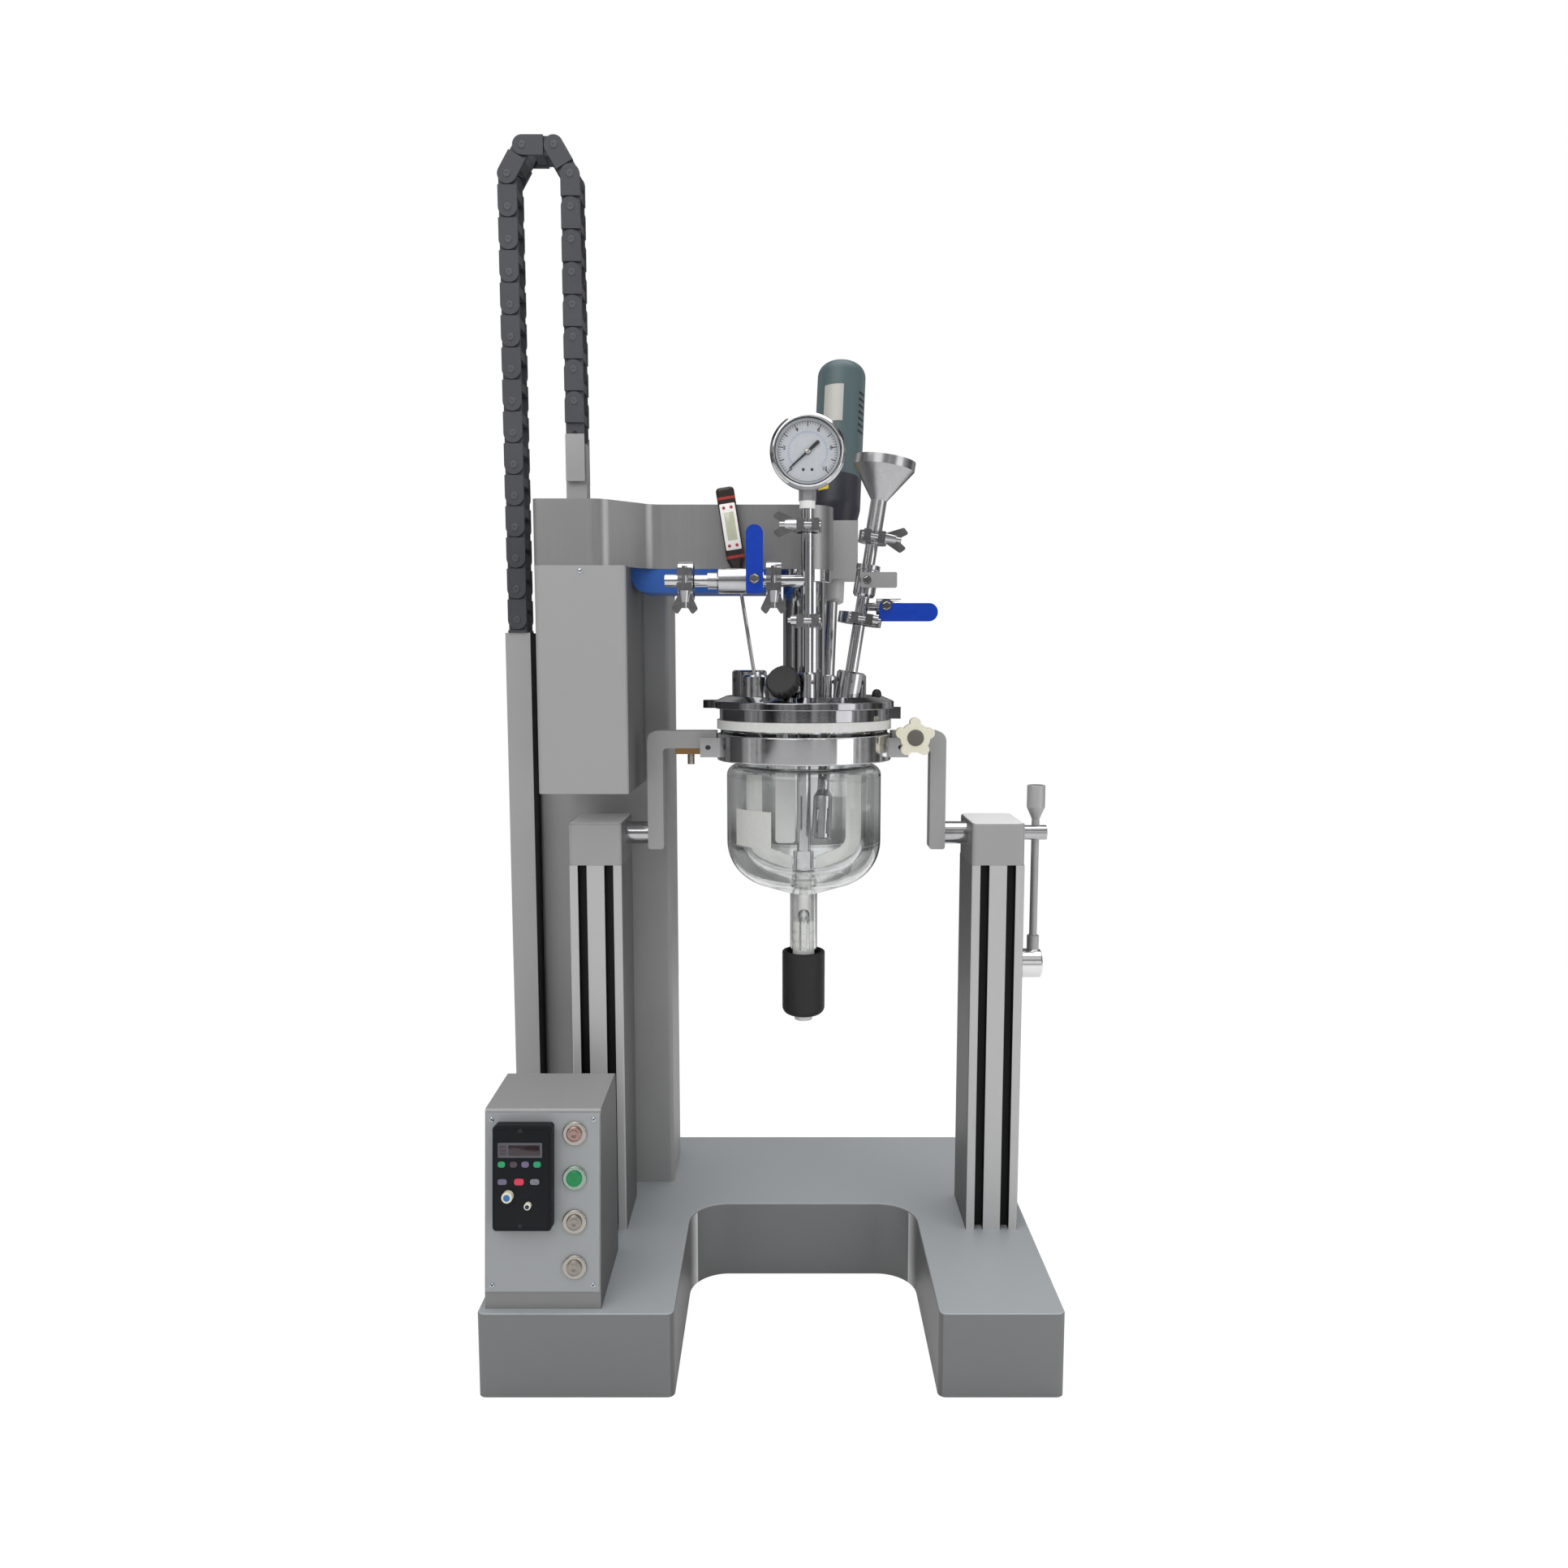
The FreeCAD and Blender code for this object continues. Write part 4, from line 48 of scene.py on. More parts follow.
# %% Camera
camera = bpy.data.objects.new("camera", bpy.data.cameras.new("camera"))
bpy.context.scene.collection.objects.link(camera)
camera.location = (0.013, -1.3215, 0.7466)
camera.rotation_euler = (math.pi / 2 - 0.104, 0, 0)
camera.data.lens = 26.3
camera.data.sensor_width = 36.0
bpy.context.scene.camera = camera
bpy.context.scene.view_settings.view_transform = "Standard"
print("camera at", tuple(camera.location))

# %% [markdown]
# Colours are written as the eye sees them, in sRGB hex. A shader wants linear numbers,
# so one function turns them. A second one adds a shader node with its settings and links.

# %% Colour and node helpers
def linear(code):
    """An sRGB hex colour as the linear colour that a shader takes."""
    channels = [int(code[i:i + 2], 16) / 255 for i in (1, 3, 5)]
    return (*[c / 12.92 if c <= 0.04045 else ((c + 0.055) / 1.055) ** 2.4 for c in channels], 1.0)


def add(tree, kind, inputs=None, **settings):
    """Adds one node. An input takes a number, a colour or another node's output."""
    node = tree.nodes.new(kind)
    for name, value in settings.items():
        setattr(node, name, value)
    for name, value in (inputs or {}).items():
        if isinstance(value, bpy.types.NodeSocket):
            tree.links.new(value, node.inputs[name])
        else:
            node.inputs[name].default_value = value
    return node


def shade(name, colour, roughness, metallic=0.0, **more):
    """A new material with constant numbers set on the shader's own sockets."""
    material = bpy.data.materials.new(name)
    material.use_nodes = True
    shader = material.node_tree.nodes["Principled BSDF"]
    shader.inputs["Base Color"].default_value = linear(colour)
    shader.inputs["Roughness"].default_value = roughness
    shader.inputs["Metallic"].default_value = metallic
    for label, value in more.items():
        shader.inputs[label.replace("_", " ")].default_value = value
    return material


def object_place(tree, scale=(1, 1, 1)):
    """Object coordinates, multiplied along each axis. Higher numbers make a finer pattern."""
    place = add(tree, "ShaderNodeTexCoord")
    return add(tree, "ShaderNodeMapping", {"Vector": place.outputs["Object"], "Scale": scale}).outputs["Vector"]


def ramp(tree, share, tones):
    """A colour ramp over a share of 0 to 1, from (position, colour) pairs in rising order."""
    node = add(tree, "ShaderNodeValToRGB", {"Fac": share})
    stops = node.color_ramp.elements
    stops[0].position, stops[0].color = tones[0]
    stops[1].position, stops[1].color = tones[-1]
    for position, colour in tones[1:-1]:
        stops.new(position).color = colour
    return node.outputs["Color"]


def texture(material, dark, light, rough=(0.3, 0.4), scale=(400, 400, 400), bump=0.00005, contrast=0.5):
    """Gives a finish its small variation in colour, roughness and height from a fine and a coarse noise."""
    tree = material.node_tree
    shader = tree.nodes["Principled BSDF"]
    noise = add(tree, "ShaderNodeTexNoise", {"Vector": object_place(tree, scale), "Scale": 1.0, "Detail": 3.0})
    cloud = add(tree, "ShaderNodeTexNoise", {"Vector": object_place(tree, (9, 9, 9)), "Scale": 1.0, "Detail": 2.0})
    both = add(tree, "ShaderNodeMix", {"Factor": contrast, "A": cloud.outputs["Fac"], "B": noise.outputs["Fac"]})
    colour = ramp(tree, both.outputs["Result"], [(0.3, linear(dark)), (0.7, linear(light))])
    tree.links.new(colour, shader.inputs["Base Color"])
    spread = add(tree, "ShaderNodeMapRange", {"Value": both.outputs["Result"], "From Min": 0.3, "From Max": 0.7,
                                              "To Min": rough[0], "To Max": rough[1]})
    tree.links.new(spread.outputs["Result"], shader.inputs["Roughness"])
    relief = add(tree, "ShaderNodeBump", {"Height": noise.outputs["Fac"], "Strength": 0.5, "Distance": bump})
    tree.links.new(relief.outputs["Normal"], shader.inputs["Normal"])
    return material


print("helpers ready")

# %% [markdown]
# The stand is satin stainless sheet and satin-anodised aluminium. Brushing leaves lines along the
# sheet, which spread a reflection across them, so the noise is stretched along one axis.
# Real lines are about 0.05 mm apart; here they are 0.4 mm, so that they show at this distance.

# %% Sheet metal and aluminium
BRUSH = 2500.0
ALONG = 12.0
FINE_GRAIN = (900, 900, 900)
arm_steel = texture(shade("satin_stainless_arm", "#9c9c9c", 0.32, 0.7), "#969696", "#a2a2a2", (0.28, 0.38),
                    (BRUSH, BRUSH, ALONG), 0.00002)
column_steel = texture(shade("satin_stainless_column", "#a2a2a2", 0.5, 0.35), "#9c9c9c", "#a8a8a8", (0.45, 0.55),
                       (BRUSH, BRUSH, ALONG), 0.00002)
post_aluminium = texture(shade("anodised_aluminium_post", "#a0a0a0", 0.42, 0.35), "#989898", "#a8a8a8",
                         (0.38, 0.48), (BRUSH, BRUSH, ALONG), 0.00002)
head_aluminium = texture(shade("cast_aluminium_head", "#9a9a9a", 0.5, 0.35), "#949494", "#a0a0a0", (0.45, 0.6),
                         FINE_GRAIN, 0.00004)
bracket_steel = texture(shade("machined_steel_bracket", "#a4a4a4", 0.4, 0.5), "#9c9c9c", "#acacac", (0.34, 0.46),
                        (BRUSH, BRUSH, ALONG), 0.00002)
print("sheet finishes:", [m.name for m in bpy.data.materials])

# %% [markdown]
# The process parts are drawn as stainless steel, mirror-polished by buffing. Buffing leaves faint swirls,
# which only show as small changes in roughness. A metal keeps the default IOR.

# %% Polished steel
def polished(name, dark="#c8c8ca", light="#dcdcde", rough=(0.05, 0.12)):
    return texture(shade(name, "#cdcdcf", 0.08, 1.0), dark, light, rough, (140, 140, 140), 0.00001, 0.35)


mirror_steel = polished("buffed_stainless")
clamp_steel = polished("cast_polished_stainless", "#b8b8ba", "#d4d4d6", (0.12, 0.22))
ground_steel = polished("ground_shaft_steel", "#b4b4b6", "#cfcfd1", (0.10, 0.18))
nut_steel = polished("turned_stainless_nuts", "#bcbcbe", "#d2d2d4", (0.10, 0.2))
nickel = texture(shade("nickel_plated_brass", "#c9c4bc", 0.25, 1.0), "#bdb8b0", "#d4cfc6", (0.2, 0.3),
                 (600, 600, 600), 0.00002)
print("polished finishes ready")

# %% [markdown]
# Paint and plastic. Powder coat has an orange-peel skin a few millimetres across; moulded nylon and
# ABS have a fine spark texture, drawn here at about 1 mm, coarser than real, so that it shows.

# %% Paint, plastic and rubber
blue_coat = texture(shade("blue_powder_coat", "#1a54a6", 0.45, 0.0, Coat_Weight=0.1), "#17509f", "#1d59ae", (0.4, 0.5),
                    (260, 260, 260), 0.00006)
blue_sleeve = texture(shade("dipped_blue_vinyl", "#0038a6", 0.4, 0.0, Specular_IOR_Level=0.3), "#00349e", "#003cae",
                      (0.36, 0.46), (180, 180, 180), 0.00004)
chain_nylon = texture(shade("moulded_black_nylon", "#3c3d42", 0.5), "#323338", "#494a50", (0.42, 0.6),
                      FINE_GRAIN, 0.00004)
pin_nylon = texture(shade("nylon_pin_heads", "#4a4b4e", 0.45), "#434447", "#525356", (0.4, 0.5),
                    FINE_GRAIN, 0.00003)
black_phenolic = texture(shade("moulded_black_phenolic", "#0e0e0e", 0.4), "#0a0a0a", "#131313", (0.34, 0.46),
                         (700, 700, 700), 0.00003)
grip_rubber = texture(shade("black_grip_sleeve", "#1b1b1c", 0.55), "#151516", "#232324", (0.48, 0.62),
                      (500, 500, 500), 0.00006)
inverter_abs = texture(shade("dark_moulded_abs", "#15161a", 0.5, Specular_IOR_Level=0.2), "#121317", "#1a1b20",
                       (0.45, 0.56), (1100, 1100, 1100), 0.00004)
cream_abs = texture(shade("cream_moulded_abs", "#dcd8c4", 0.35), "#d4d0bb", "#e4e0ce", (0.3, 0.4),
                    (700, 700, 700), 0.00002)
white_ptfe = texture(shade("turned_white_ptfe", "#ebebe8", 0.42), "#e4e4e0", "#f1f1ee", (0.36, 0.48),
                     (40, 40, 1200), 0.00003)
belt_rubber = texture(shade("moulded_belt_rubber", "#181818", 0.7), "#131313", "#202020", (0.62, 0.78),
                      (700, 700, 700), 0.00005)
print("paint and plastic ready")

# %% [markdown]
# Borosilicate glass is clear, with a refractive index of 1.47. The jacket and the inner vessel are
# closed walls, so the light bends twice at each. Silicone for the seal is milky: light passes a
# little way in and comes out again, so it gets some subsurface scattering.

# %% Glass and silicone
def lamps_through(material, tint):
    """Lets light from the lamps and the room reach what stands behind the glass, a little dimmed."""
    tree = material.node_tree
    output = next(n for n in tree.nodes if n.type == "OUTPUT_MATERIAL")
    rays = add(tree, "ShaderNodeLightPath")
    spread = add(tree, "ShaderNodeMath", {0: rays.outputs["Is Shadow Ray"], 1: rays.outputs["Is Diffuse Ray"]},
                 operation="MAXIMUM")
    clear = add(tree, "ShaderNodeBsdfTransparent", {"Color": linear(tint)})
    shader = tree.nodes["Principled BSDF"]
    mixed = add(tree, "ShaderNodeMixShader", {0: spread.outputs[0], 1: shader.outputs[0], 2: clear.outputs[0]})
    tree.links.new(mixed.outputs[0], output.inputs["Surface"])
    return material


glass = texture(shade("blown_borosilicate_glass", "#fafbfb", 0.0, 0.0, IOR=1.47, Transmission_Weight=1.0),
                "#f9fafa", "#fcfdfd", (0.0, 0.015), (60, 60, 60), 0.000004)
lamps_through(glass, "#fafafa")
window_glass = texture(shade("gauge_window_glass", "#ffffff", 0.0, 0.0, IOR=1.45, Transmission_Weight=1.0),
                       "#fbfdfd", "#ffffff", (0.0, 0.01), (60, 60, 60), 0.000002)
lamps_through(window_glass, "#fafafa")
silicone = texture(shade("milky_silicone_seal", "#d2d2d0", 0.35, 0.0, Subsurface_Weight=0.3, Subsurface_Scale=0.004),
                   "#cbcbc9", "#dadad8", (0.28, 0.42), (200, 200, 200), 0.00004)
print("glass and silicone ready")

# %% [markdown]
# Some CAD nodes hold solids of several finishes, such as the lid with its white baffle. Their
# material picks the finish by position: a slab between two planes, or several slabs together.
# Zones also paint shade on sides, fronts and slots, and light on the post heads' tops. On bent
# bright sheet the second function paints a reflection as a smooth run of light and dark tones.

# %% Finishes by position
def along(tree, place, direction):
    """How far a place lies along a direction, in metres."""
    return add(tree, "ShaderNodeVectorMath", {0: place, 1: Vector(direction).normalized()},
               operation="DOT_PRODUCT").outputs["Value"]


def inside(tree, place, slabs):
    """1 within all the slabs and 0 elsewhere. A slab is (direction, low, high) in metres."""
    mask = 1.0
    for direction, low, high in slabs:
        height = along(tree, place, direction)
        above = add(tree, "ShaderNodeMath", {0: height, 1: low}, operation="GREATER_THAN").outputs[0]
        below = add(tree, "ShaderNodeMath", {0: height, 1: high}, operation="LESS_THAN").outputs[0]
        both = add(tree, "ShaderNodeMath", {0: above, 1: below}, operation="MULTIPLY").outputs[0]
        mask = add(tree, "ShaderNodeMath", {0: both, 1: mask}, operation="MULTIPLY").outputs[0]
    return mask


def zoned(name, main, zones, scale=(600, 600, 600)):
    """main and each zone's finish are (hex, metallic, roughness). A zone is (slabs, finish)."""
    material = shade(name, main[0], main[2], main[1])
    tree = material.node_tree
    shader = tree.nodes["Principled BSDF"]
    place = object_place(tree)
    noise = add(tree, "ShaderNodeTexNoise", {"Vector": object_place(tree, scale), "Scale": 1.0, "Detail": 2.0})
    colour, metallic, roughness = linear(main[0]), main[1], main[2]
    for slabs, finish in zones:
        mask = inside(tree, place, slabs)
        colour = add(tree, "ShaderNodeMix", {"Factor": mask, 6: colour, 7: linear(finish[0])},
                     data_type="RGBA").outputs[2]
        metallic = add(tree, "ShaderNodeMix", {"Factor": mask, "A": metallic, "B": finish[1]}).outputs["Result"]
        roughness = add(tree, "ShaderNodeMix", {"Factor": mask, "A": roughness, "B": finish[2]}).outputs["Result"]
    spread = add(tree, "ShaderNodeMath", {0: noise.outputs["Fac"], 1: 0.08, 2: -0.04}, operation="MULTIPLY_ADD")
    roughness = add(tree, "ShaderNodeMath", {0: roughness, 1: spread.outputs[0]}, operation="ADD", use_clamp=True)
    tree.links.new(colour, shader.inputs["Base Color"])
    tree.links.new(metallic, shader.inputs["Metallic"])
    tree.links.new(roughness.outputs[0], shader.inputs["Roughness"])
    relief = add(tree, "ShaderNodeBump", {"Height": noise.outputs["Fac"], "Strength": 0.4, "Distance": 0.00003})
    tree.links.new(relief.outputs["Normal"], shader.inputs["Normal"])
    return material


def paint_reflection_run(material, slabs, direction, start, end, tones):
    """Inside the slabs, a painted reflection: a smooth run of light and dark tones from start to end metres along a
    direction.
    """
    tree = material.node_tree
    base = tree.nodes["Principled BSDF"].inputs["Base Color"]
    place = object_place(tree)
    share = add(tree, "ShaderNodeMapRange", {"Value": along(tree, place, direction), "From Min": start,
                                             "From Max": end})
    run = ramp(tree, share.outputs["Result"], [(position, linear(tone)) for position, tone in tones])
    mixed = add(tree, "ShaderNodeMix", {"Factor": inside(tree, place, slabs), 6: base.links[0].from_socket, 7: run},
                data_type="RGBA")
    tree.links.new(mixed.outputs[2], base)


X, Y, Z = (1, 0, 0), (0, 1, 0), (0, 0, 1)
FAR = 9.0
STEEL = ("#d2d2d4", 1.0, 0.09)
WHITE = ("#ececea", 0.0, 0.42)
LEAN = Vector((0.05, 0.236, 1.0)).normalized()
STEM_START = Vector((0.064, 0.024, 0.711)).dot(LEAN)
PANEL_TILT = math.atan2(0.186, 0.020)
PANEL_NORMAL = Vector((0, -math.sin(PANEL_TILT), math.cos(PANEL_TILT)))
PANEL_START = Vector((-0.293, -0.190, 0.294))
PANEL_UP = Vector((0, math.cos(PANEL_TILT), math.sin(PANEL_TILT)))
PANEL_PLANE = PANEL_START.dot(PANEL_NORMAL)


def row_slab(down):
    """The stretch of the panel, along its slope, that one push button takes up."""
    middle = PANEL_START.dot(PANEL_UP) - down
    return (PANEL_UP, middle - 0.014, middle + 0.014)


proud = (PANEL_NORMAL, PANEL_PLANE + 0.0022, FAR)
UPRIGHT = (BRUSH, BRUSH, ALONG)
NOTCH = [(Z, -FAR, 0.0885), (X, -0.1045, 0.1765), (Y, -0.2190, 0.0)]
NOTCH_LEFT, NOTCH_RIGHT = -0.099, 0.171
# The base's fronts, below its top, are painted darker as shade.
base_with_painted_shade_and_reflection = zoned("satin_stainless_base_painted_shade_and_reflection", ("#b2b7ba", 0.3, 0.5), [
    ([(Z, -FAR, 0.0895)], ("#7e7f80", 0.3, 0.5)),
    (NOTCH, ("#a0a0a0", 0.3, 0.4))], (ALONG, BRUSH, BRUSH))
# Painted reflection: light and dark bands run across the notch walls.
paint_reflection_run(base_with_painted_shade_and_reflection, NOTCH, X, NOTCH_LEFT, NOTCH_RIGHT, [
    (0.0, "#6a6a6a"), (0.03, "#ffffff"), (0.09, "#f4f4f4"), (0.15, "#8a8a8a"), (0.21, "#606060"), (0.30, "#8c8c8c"),
    (0.52, "#929292"), (0.74, "#7c7c7c"), (0.84, "#585858"), (0.90, "#8c8c8c"), (0.96, "#ffffff"), (1.0, "#6a6a6a")])
# The support tube's right side is painted black as shade.
tube_with_painted_shade = zoned("satin_stainless_support_painted_shade", ("#acacac", 0.3, 0.5), [
    ([(X, -0.2884, FAR)], ("#050505", 0.0, 0.6))], UPRIGHT)
# The drive box's right side is painted darker as shade.
box_with_painted_shade = zoned("satin_stainless_drive_box_painted_shade", ("#a4a4a4", 0.3, 0.5), [
    ([(X, -0.1565, FAR)], ("#6e6e6e", 0.3, 0.5))], UPRIGHT)
# The control box's lower toe and its right side are painted darker as shade.
control_with_painted_shade = zoned("satin_stainless_control_box_painted_shade", ("#a0a0a0", 0.3, 0.5), [
    ([(Z, -FAR, 0.108)], ("#8a8a8a", 0.3, 0.5)), ([(X, -0.1745, FAR)], ("#5c5c5c", 0.3, 0.5))], UPRIGHT)
block_finish = texture(shade("satin_clamp_blocks", "#c6c6c6", 0.45, 0.35), "#c0c0c0", "#cccccc", (0.4, 0.5),
                       FINE_GRAIN, 0.00002)
funnel_finish = polished("spun_funnel_steel", "#b4b4b6", "#c8c8ca", (0.24, 0.32))
SLOTS = ((-0.2201, -0.2099), (-0.1901, -0.1799), (0.2349, 0.2451), (0.2649, 0.2751))
POST_SIDES = ((-0.2305, -0.2295), (-0.1705, -0.1695), (0.2245, 0.2255), (0.2845, 0.2855))
HEAD_BOTTOM = 0.5205
HEAD_SHADE = ("#6a6a6a", 0.3, 0.5)
# Painted shade: the profiles' sides are darker.
post_zones = [([(X, *side)], ("#5c5c5c", 0.3, 0.5)) for side in POST_SIDES]
# Painted shade: the T-slot recesses are black.
post_zones += [([(X, *slot)], ("#050505", 0.0, 0.6)) for slot in SLOTS]
post_zones += [([(Z, HEAD_BOTTOM, FAR)], ("#a2a2a2", 0.3, 0.5)),
               # Painted shade on the sides of the heads.
               ([(Z, HEAD_BOTTOM, FAR), (X, 0.2249, 0.2256)], HEAD_SHADE),
               ([(Z, HEAD_BOTTOM, 0.5682), (X, -0.1706, -0.1694)], HEAD_SHADE),
               # Painted light: the heads' tops are near white.
               ([(Z, 0.5685, FAR)], ("#f0f0f0", 0.2, 0.5))]
post_with_painted_light_and_shade = zoned("anodised_profile_and_head_painted_light_and_shade", ("#bcbcbc", 0.3, 0.45), post_zones, UPRIGHT)
lock_finish = zoned("satin_lever_and_turned_hub", ("#b2b2b2", 0.5, 0.42), [
    ([(Z, -FAR, 0.4106)], ("#efefef", 1.0, 0.16))])
lid_finish = zoned("buffed_lid_and_baffle", ("#a6a6a9", 1.0, 0.09), [
    ([(Z, -FAR, 0.684)], WHITE), ([(X, -FAR, -0.0672)], ("#5c5c5e", 1.0, 0.15))])
gauge_finish = zoned("gauge_case_and_neck", STEEL, [
    ([(Z, -FAR, 0.937)], ("#a9a9ab", 0.6, 0.38)), ([(Z, -FAR, 0.920)], WHITE)])
panel_finish = zoned("painted_panel_and_bezels", ("#9da0a2", 0.1, 0.45), [
    ([proud], ("#b9b4ac", 1.0, 0.22)), ([proud, row_slab(0.0694)], ("#9fb3a6", 1.0, 0.22))])
bracket_finish = zoned("bracket_and_bronze_strip", ("#a6a6a6", 0.4, 0.4), [
    ([(X, -0.116, -0.074), (Z, -FAR, 0.6508)], ("#a07b55", 1.0, 0.35)),
    ([(X, -0.116, -0.074), (Z, -FAR, 0.6438)], ("#b9b2a6", 1.0, 0.3))])
drive_finish = zoned("slate_abs_drive", ("#4b5d60", 0.0, 0.42), [
    ([(LEAN, -FAR, STEM_START + 0.262)], ("#2b2b36", 0.0, 0.42)),
    ([(LEAN, -FAR, STEM_START + 0.1862)], ("#c2c2c2", 0.2, 0.4))], FINE_GRAIN)
PROBE = Vector((-0.016, -0.046, 0.711))
PROBE_AXIS = Vector((-32, 0, 202)).normalized()
PROBE_START = PROBE.dot(PROBE_AXIS)
probe_finish = zoned("thermometer_probe_and_handle", ("#2a1f1d", 0.0, 0.35), [
    ([(PROBE_AXIS, -FAR, PROBE_START + 0.1359)], STEEL),
    ([(PROBE_AXIS, PROBE_START + 0.153, PROBE_START + 0.156)], ("#a8322c", 0.0, 0.35)),
    ([(PROBE_AXIS, PROBE_START + 0.2166, PROBE_START + 0.2195)], ("#a8322c", 0.0, 0.35))])
print("zoned finishes ready")

# %% Give every CAD node its finish
FINISHES = {
    base_with_painted_shade_and_reflection: ["base_cover"], post_with_painted_light_and_shade: ["post_profiles"], lock_finish: ["lock_lever"],
    head_aluminium: ["base_frame", "stirrer_motor", "lift_actuator_tube"],
    column_steel: ["column_housing"],
    box_with_painted_shade: ["drive_box"], control_with_painted_shade: ["control_box"], tube_with_painted_shade: ["chain_support_tube"],
    block_finish: ["homogenizer_coupling"], funnel_finish: ["funnel"],
    arm_steel: ["arm_housing"],
    post_aluminium: ["chain_post", "motor_pulley"],
    ground_steel: ["trunnion_shafts", "lift_ram", "homogenizer_stem", "homogenizer_rotor"],
    mirror_steel: ["ring_clamp", "stirrer_tube", "process_pipes", "stirrer_shaft"],
    clamp_steel: ["pipe_clamps", "ball_valve_bodies"],
    nut_steel: ["port_nuts"],
    glass: ["glass_vessel"],
    silicone: ["vessel_gasket"],
    blue_coat: ["drive_cover"],
    blue_sleeve: ["vacuum_valve_lever", "feed_valve_lever"],
    chain_nylon: ["chain_fixed_run", "chain_moving_run"] + ["chain_link_%d" % (i + 1) for i in range(5)],
    black_phenolic: ["lid_knob", "gauge_needle", "column_collar"],
    grip_rubber: ["drain_grip"],
    inverter_abs: ["inverter_module"],
    cream_abs: ["inverter_knob", "star_knob", "trim_knob"],
    white_ptfe: ["drain_plug", "scraper_blades"],
    belt_rubber: ["drive_belt"],
    bracket_steel: ["small_valve_handle"],
    lid_finish: ["lid"], gauge_finish: ["gauge_case"], panel_finish: ["control_panel"],
    bracket_finish: ["tilt_brackets"], drive_finish: ["homogenizer_drive"], probe_finish: ["thermometer"],
}
button_metal = texture(shade("spun_button_metal", "#a09a94", 0.3, 1.0), "#969089", "#aaa49e", (0.24, 0.36),
                       FINE_GRAIN, 0.00002)
button_pink = texture(shade("anodised_button_pink", "#b0948c", 0.3, 1.0), "#a68a82", "#ba9e96", (0.24, 0.36),
                      FINE_GRAIN, 0.00002)
button_green = texture(shade("lit_green_acrylic", "#12834a", 0.25), "#0f7a44", "#188f52", (0.2, 0.3),
                       (500, 500, 500), 0.00002)
FINISHES[button_metal] = ["push_button_3", "push_button_4"]
FINISHES[button_pink] = ["push_button_1"]
FINISHES[button_green] = ["push_button_2"]
dressed = set()
for material, names in FINISHES.items():
    for name in names:
        node = nodes[name]
        node.data.materials.clear()
        node.data.materials.append(material)
        dressed.add(name)
print("nodes without a finish:", sorted(set(nodes) - dressed))

# %% [markdown]
# New pieces start from a bmesh shape. A helper turns the bmesh into an object that sits at the
# origin with its place in its mesh, rides on a CAD body and takes the finish it is given.
# Round parts are lathed: a profile of a few vertices is spun once round its axis.

# %% Mesh helpers
MM = 0.001
SHARP_FROM = 35


def panel_place(across, down, out=0.0):
    """A frame on the sloped panel: X across, Y up the slope, Z outward, in millimetres."""
    spot = PANEL_START + Vector(X) * across * MM - PANEL_UP * down * MM + PANEL_NORMAL * out * MM
    return axes_at(spot, X, PANEL_UP, PANEL_NORMAL)


def axes_at(spot, x, y, z):
    """A matrix in metres whose columns are the three directions, for shapes drawn in millimetres."""
    matrix = Matrix((x, y, z)).transposed().to_4x4()
    matrix.translation = Vector(spot)
    return matrix @ Matrix.Scale(MM, 4)


def facing(spot, direction, up=Z):
    """A frame at a point whose Z looks along a direction."""
    z = Vector(direction).normalized()
    x = Vector(up).cross(z).normalized()
    return axes_at(spot, x, z.cross(x), z)


def block(bm, size, centre=(0, 0, 0), rounding=0.0, edge=0.0):
    """A box with its upright corners rounded, and its top rim eased."""
    made = bmesh.ops.create_cube(bm, size=1.0)["verts"]
    bmesh.ops.scale(bm, vec=size, verts=made)
    bmesh.ops.translate(bm, vec=centre, verts=made)
    lines = {e for v in made for e in v.link_edges}
    if rounding:
        upright = [e for e in lines if abs(e.verts[0].co.z - e.verts[1].co.z) > 0.5 * size[2]]
        bmesh.ops.bevel(bm, geom=upright, offset=rounding, segments=4, affect="EDGES", profile=0.5, material=-1)
    if edge:
        top = centre[2] + size[2] / 2 - 0.0001
        near = [e for e in bm.edges if e.verts[0].co.z > top and e.verts[1].co.z > top
                and abs(e.verts[0].co.x - centre[0]) <= size[0] / 2 + 0.001
                and abs(e.verts[0].co.y - centre[1]) <= size[1] / 2 + 0.001]
        bmesh.ops.bevel(bm, geom=near, offset=edge, segments=2, affect="EDGES", profile=0.5, material=-1)


def lathe(bm, profile, steps=48, centre=(0, 0)):
    """Spins (radius, height) points once round the vertical and closes the seam and poles."""
    verts = [bm.verts.new((r + centre[0], centre[1], h)) for r, h in profile]
    lines = [bm.edges.new((a, b)) for a, b in zip(verts, verts[1:])]
    bmesh.ops.spin(bm, geom=verts + lines, cent=(*centre, 0), axis=(0, 0, 1), angle=2 * math.pi, steps=steps,
                   use_merge=True, use_duplicate=False)
    bmesh.ops.remove_doubles(bm, verts=bm.verts, dist=0.00001)


def piece(name, bm, body, slot_name, material, place):
    """Turns the bmesh into an object of the scene and lets it ride on a body."""
    bmesh.ops.recalc_face_normals(bm, faces=bm.faces)
    bmesh.ops.transform(bm, matrix=place, verts=bm.verts)
    mesh = bpy.data.meshes.new(name)
    bm.to_mesh(mesh)
    bm.free()
    mesh.polygons.foreach_set("use_smooth", [True] * len(mesh.polygons))
    mesh.set_sharp_from_angle(angle=math.radians(SHARP_FROM))
    mesh.materials.append(material)
    made = bpy.data.objects.new(name, mesh)
    bpy.context.scene.collection.objects.link(made)
    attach(made, body)


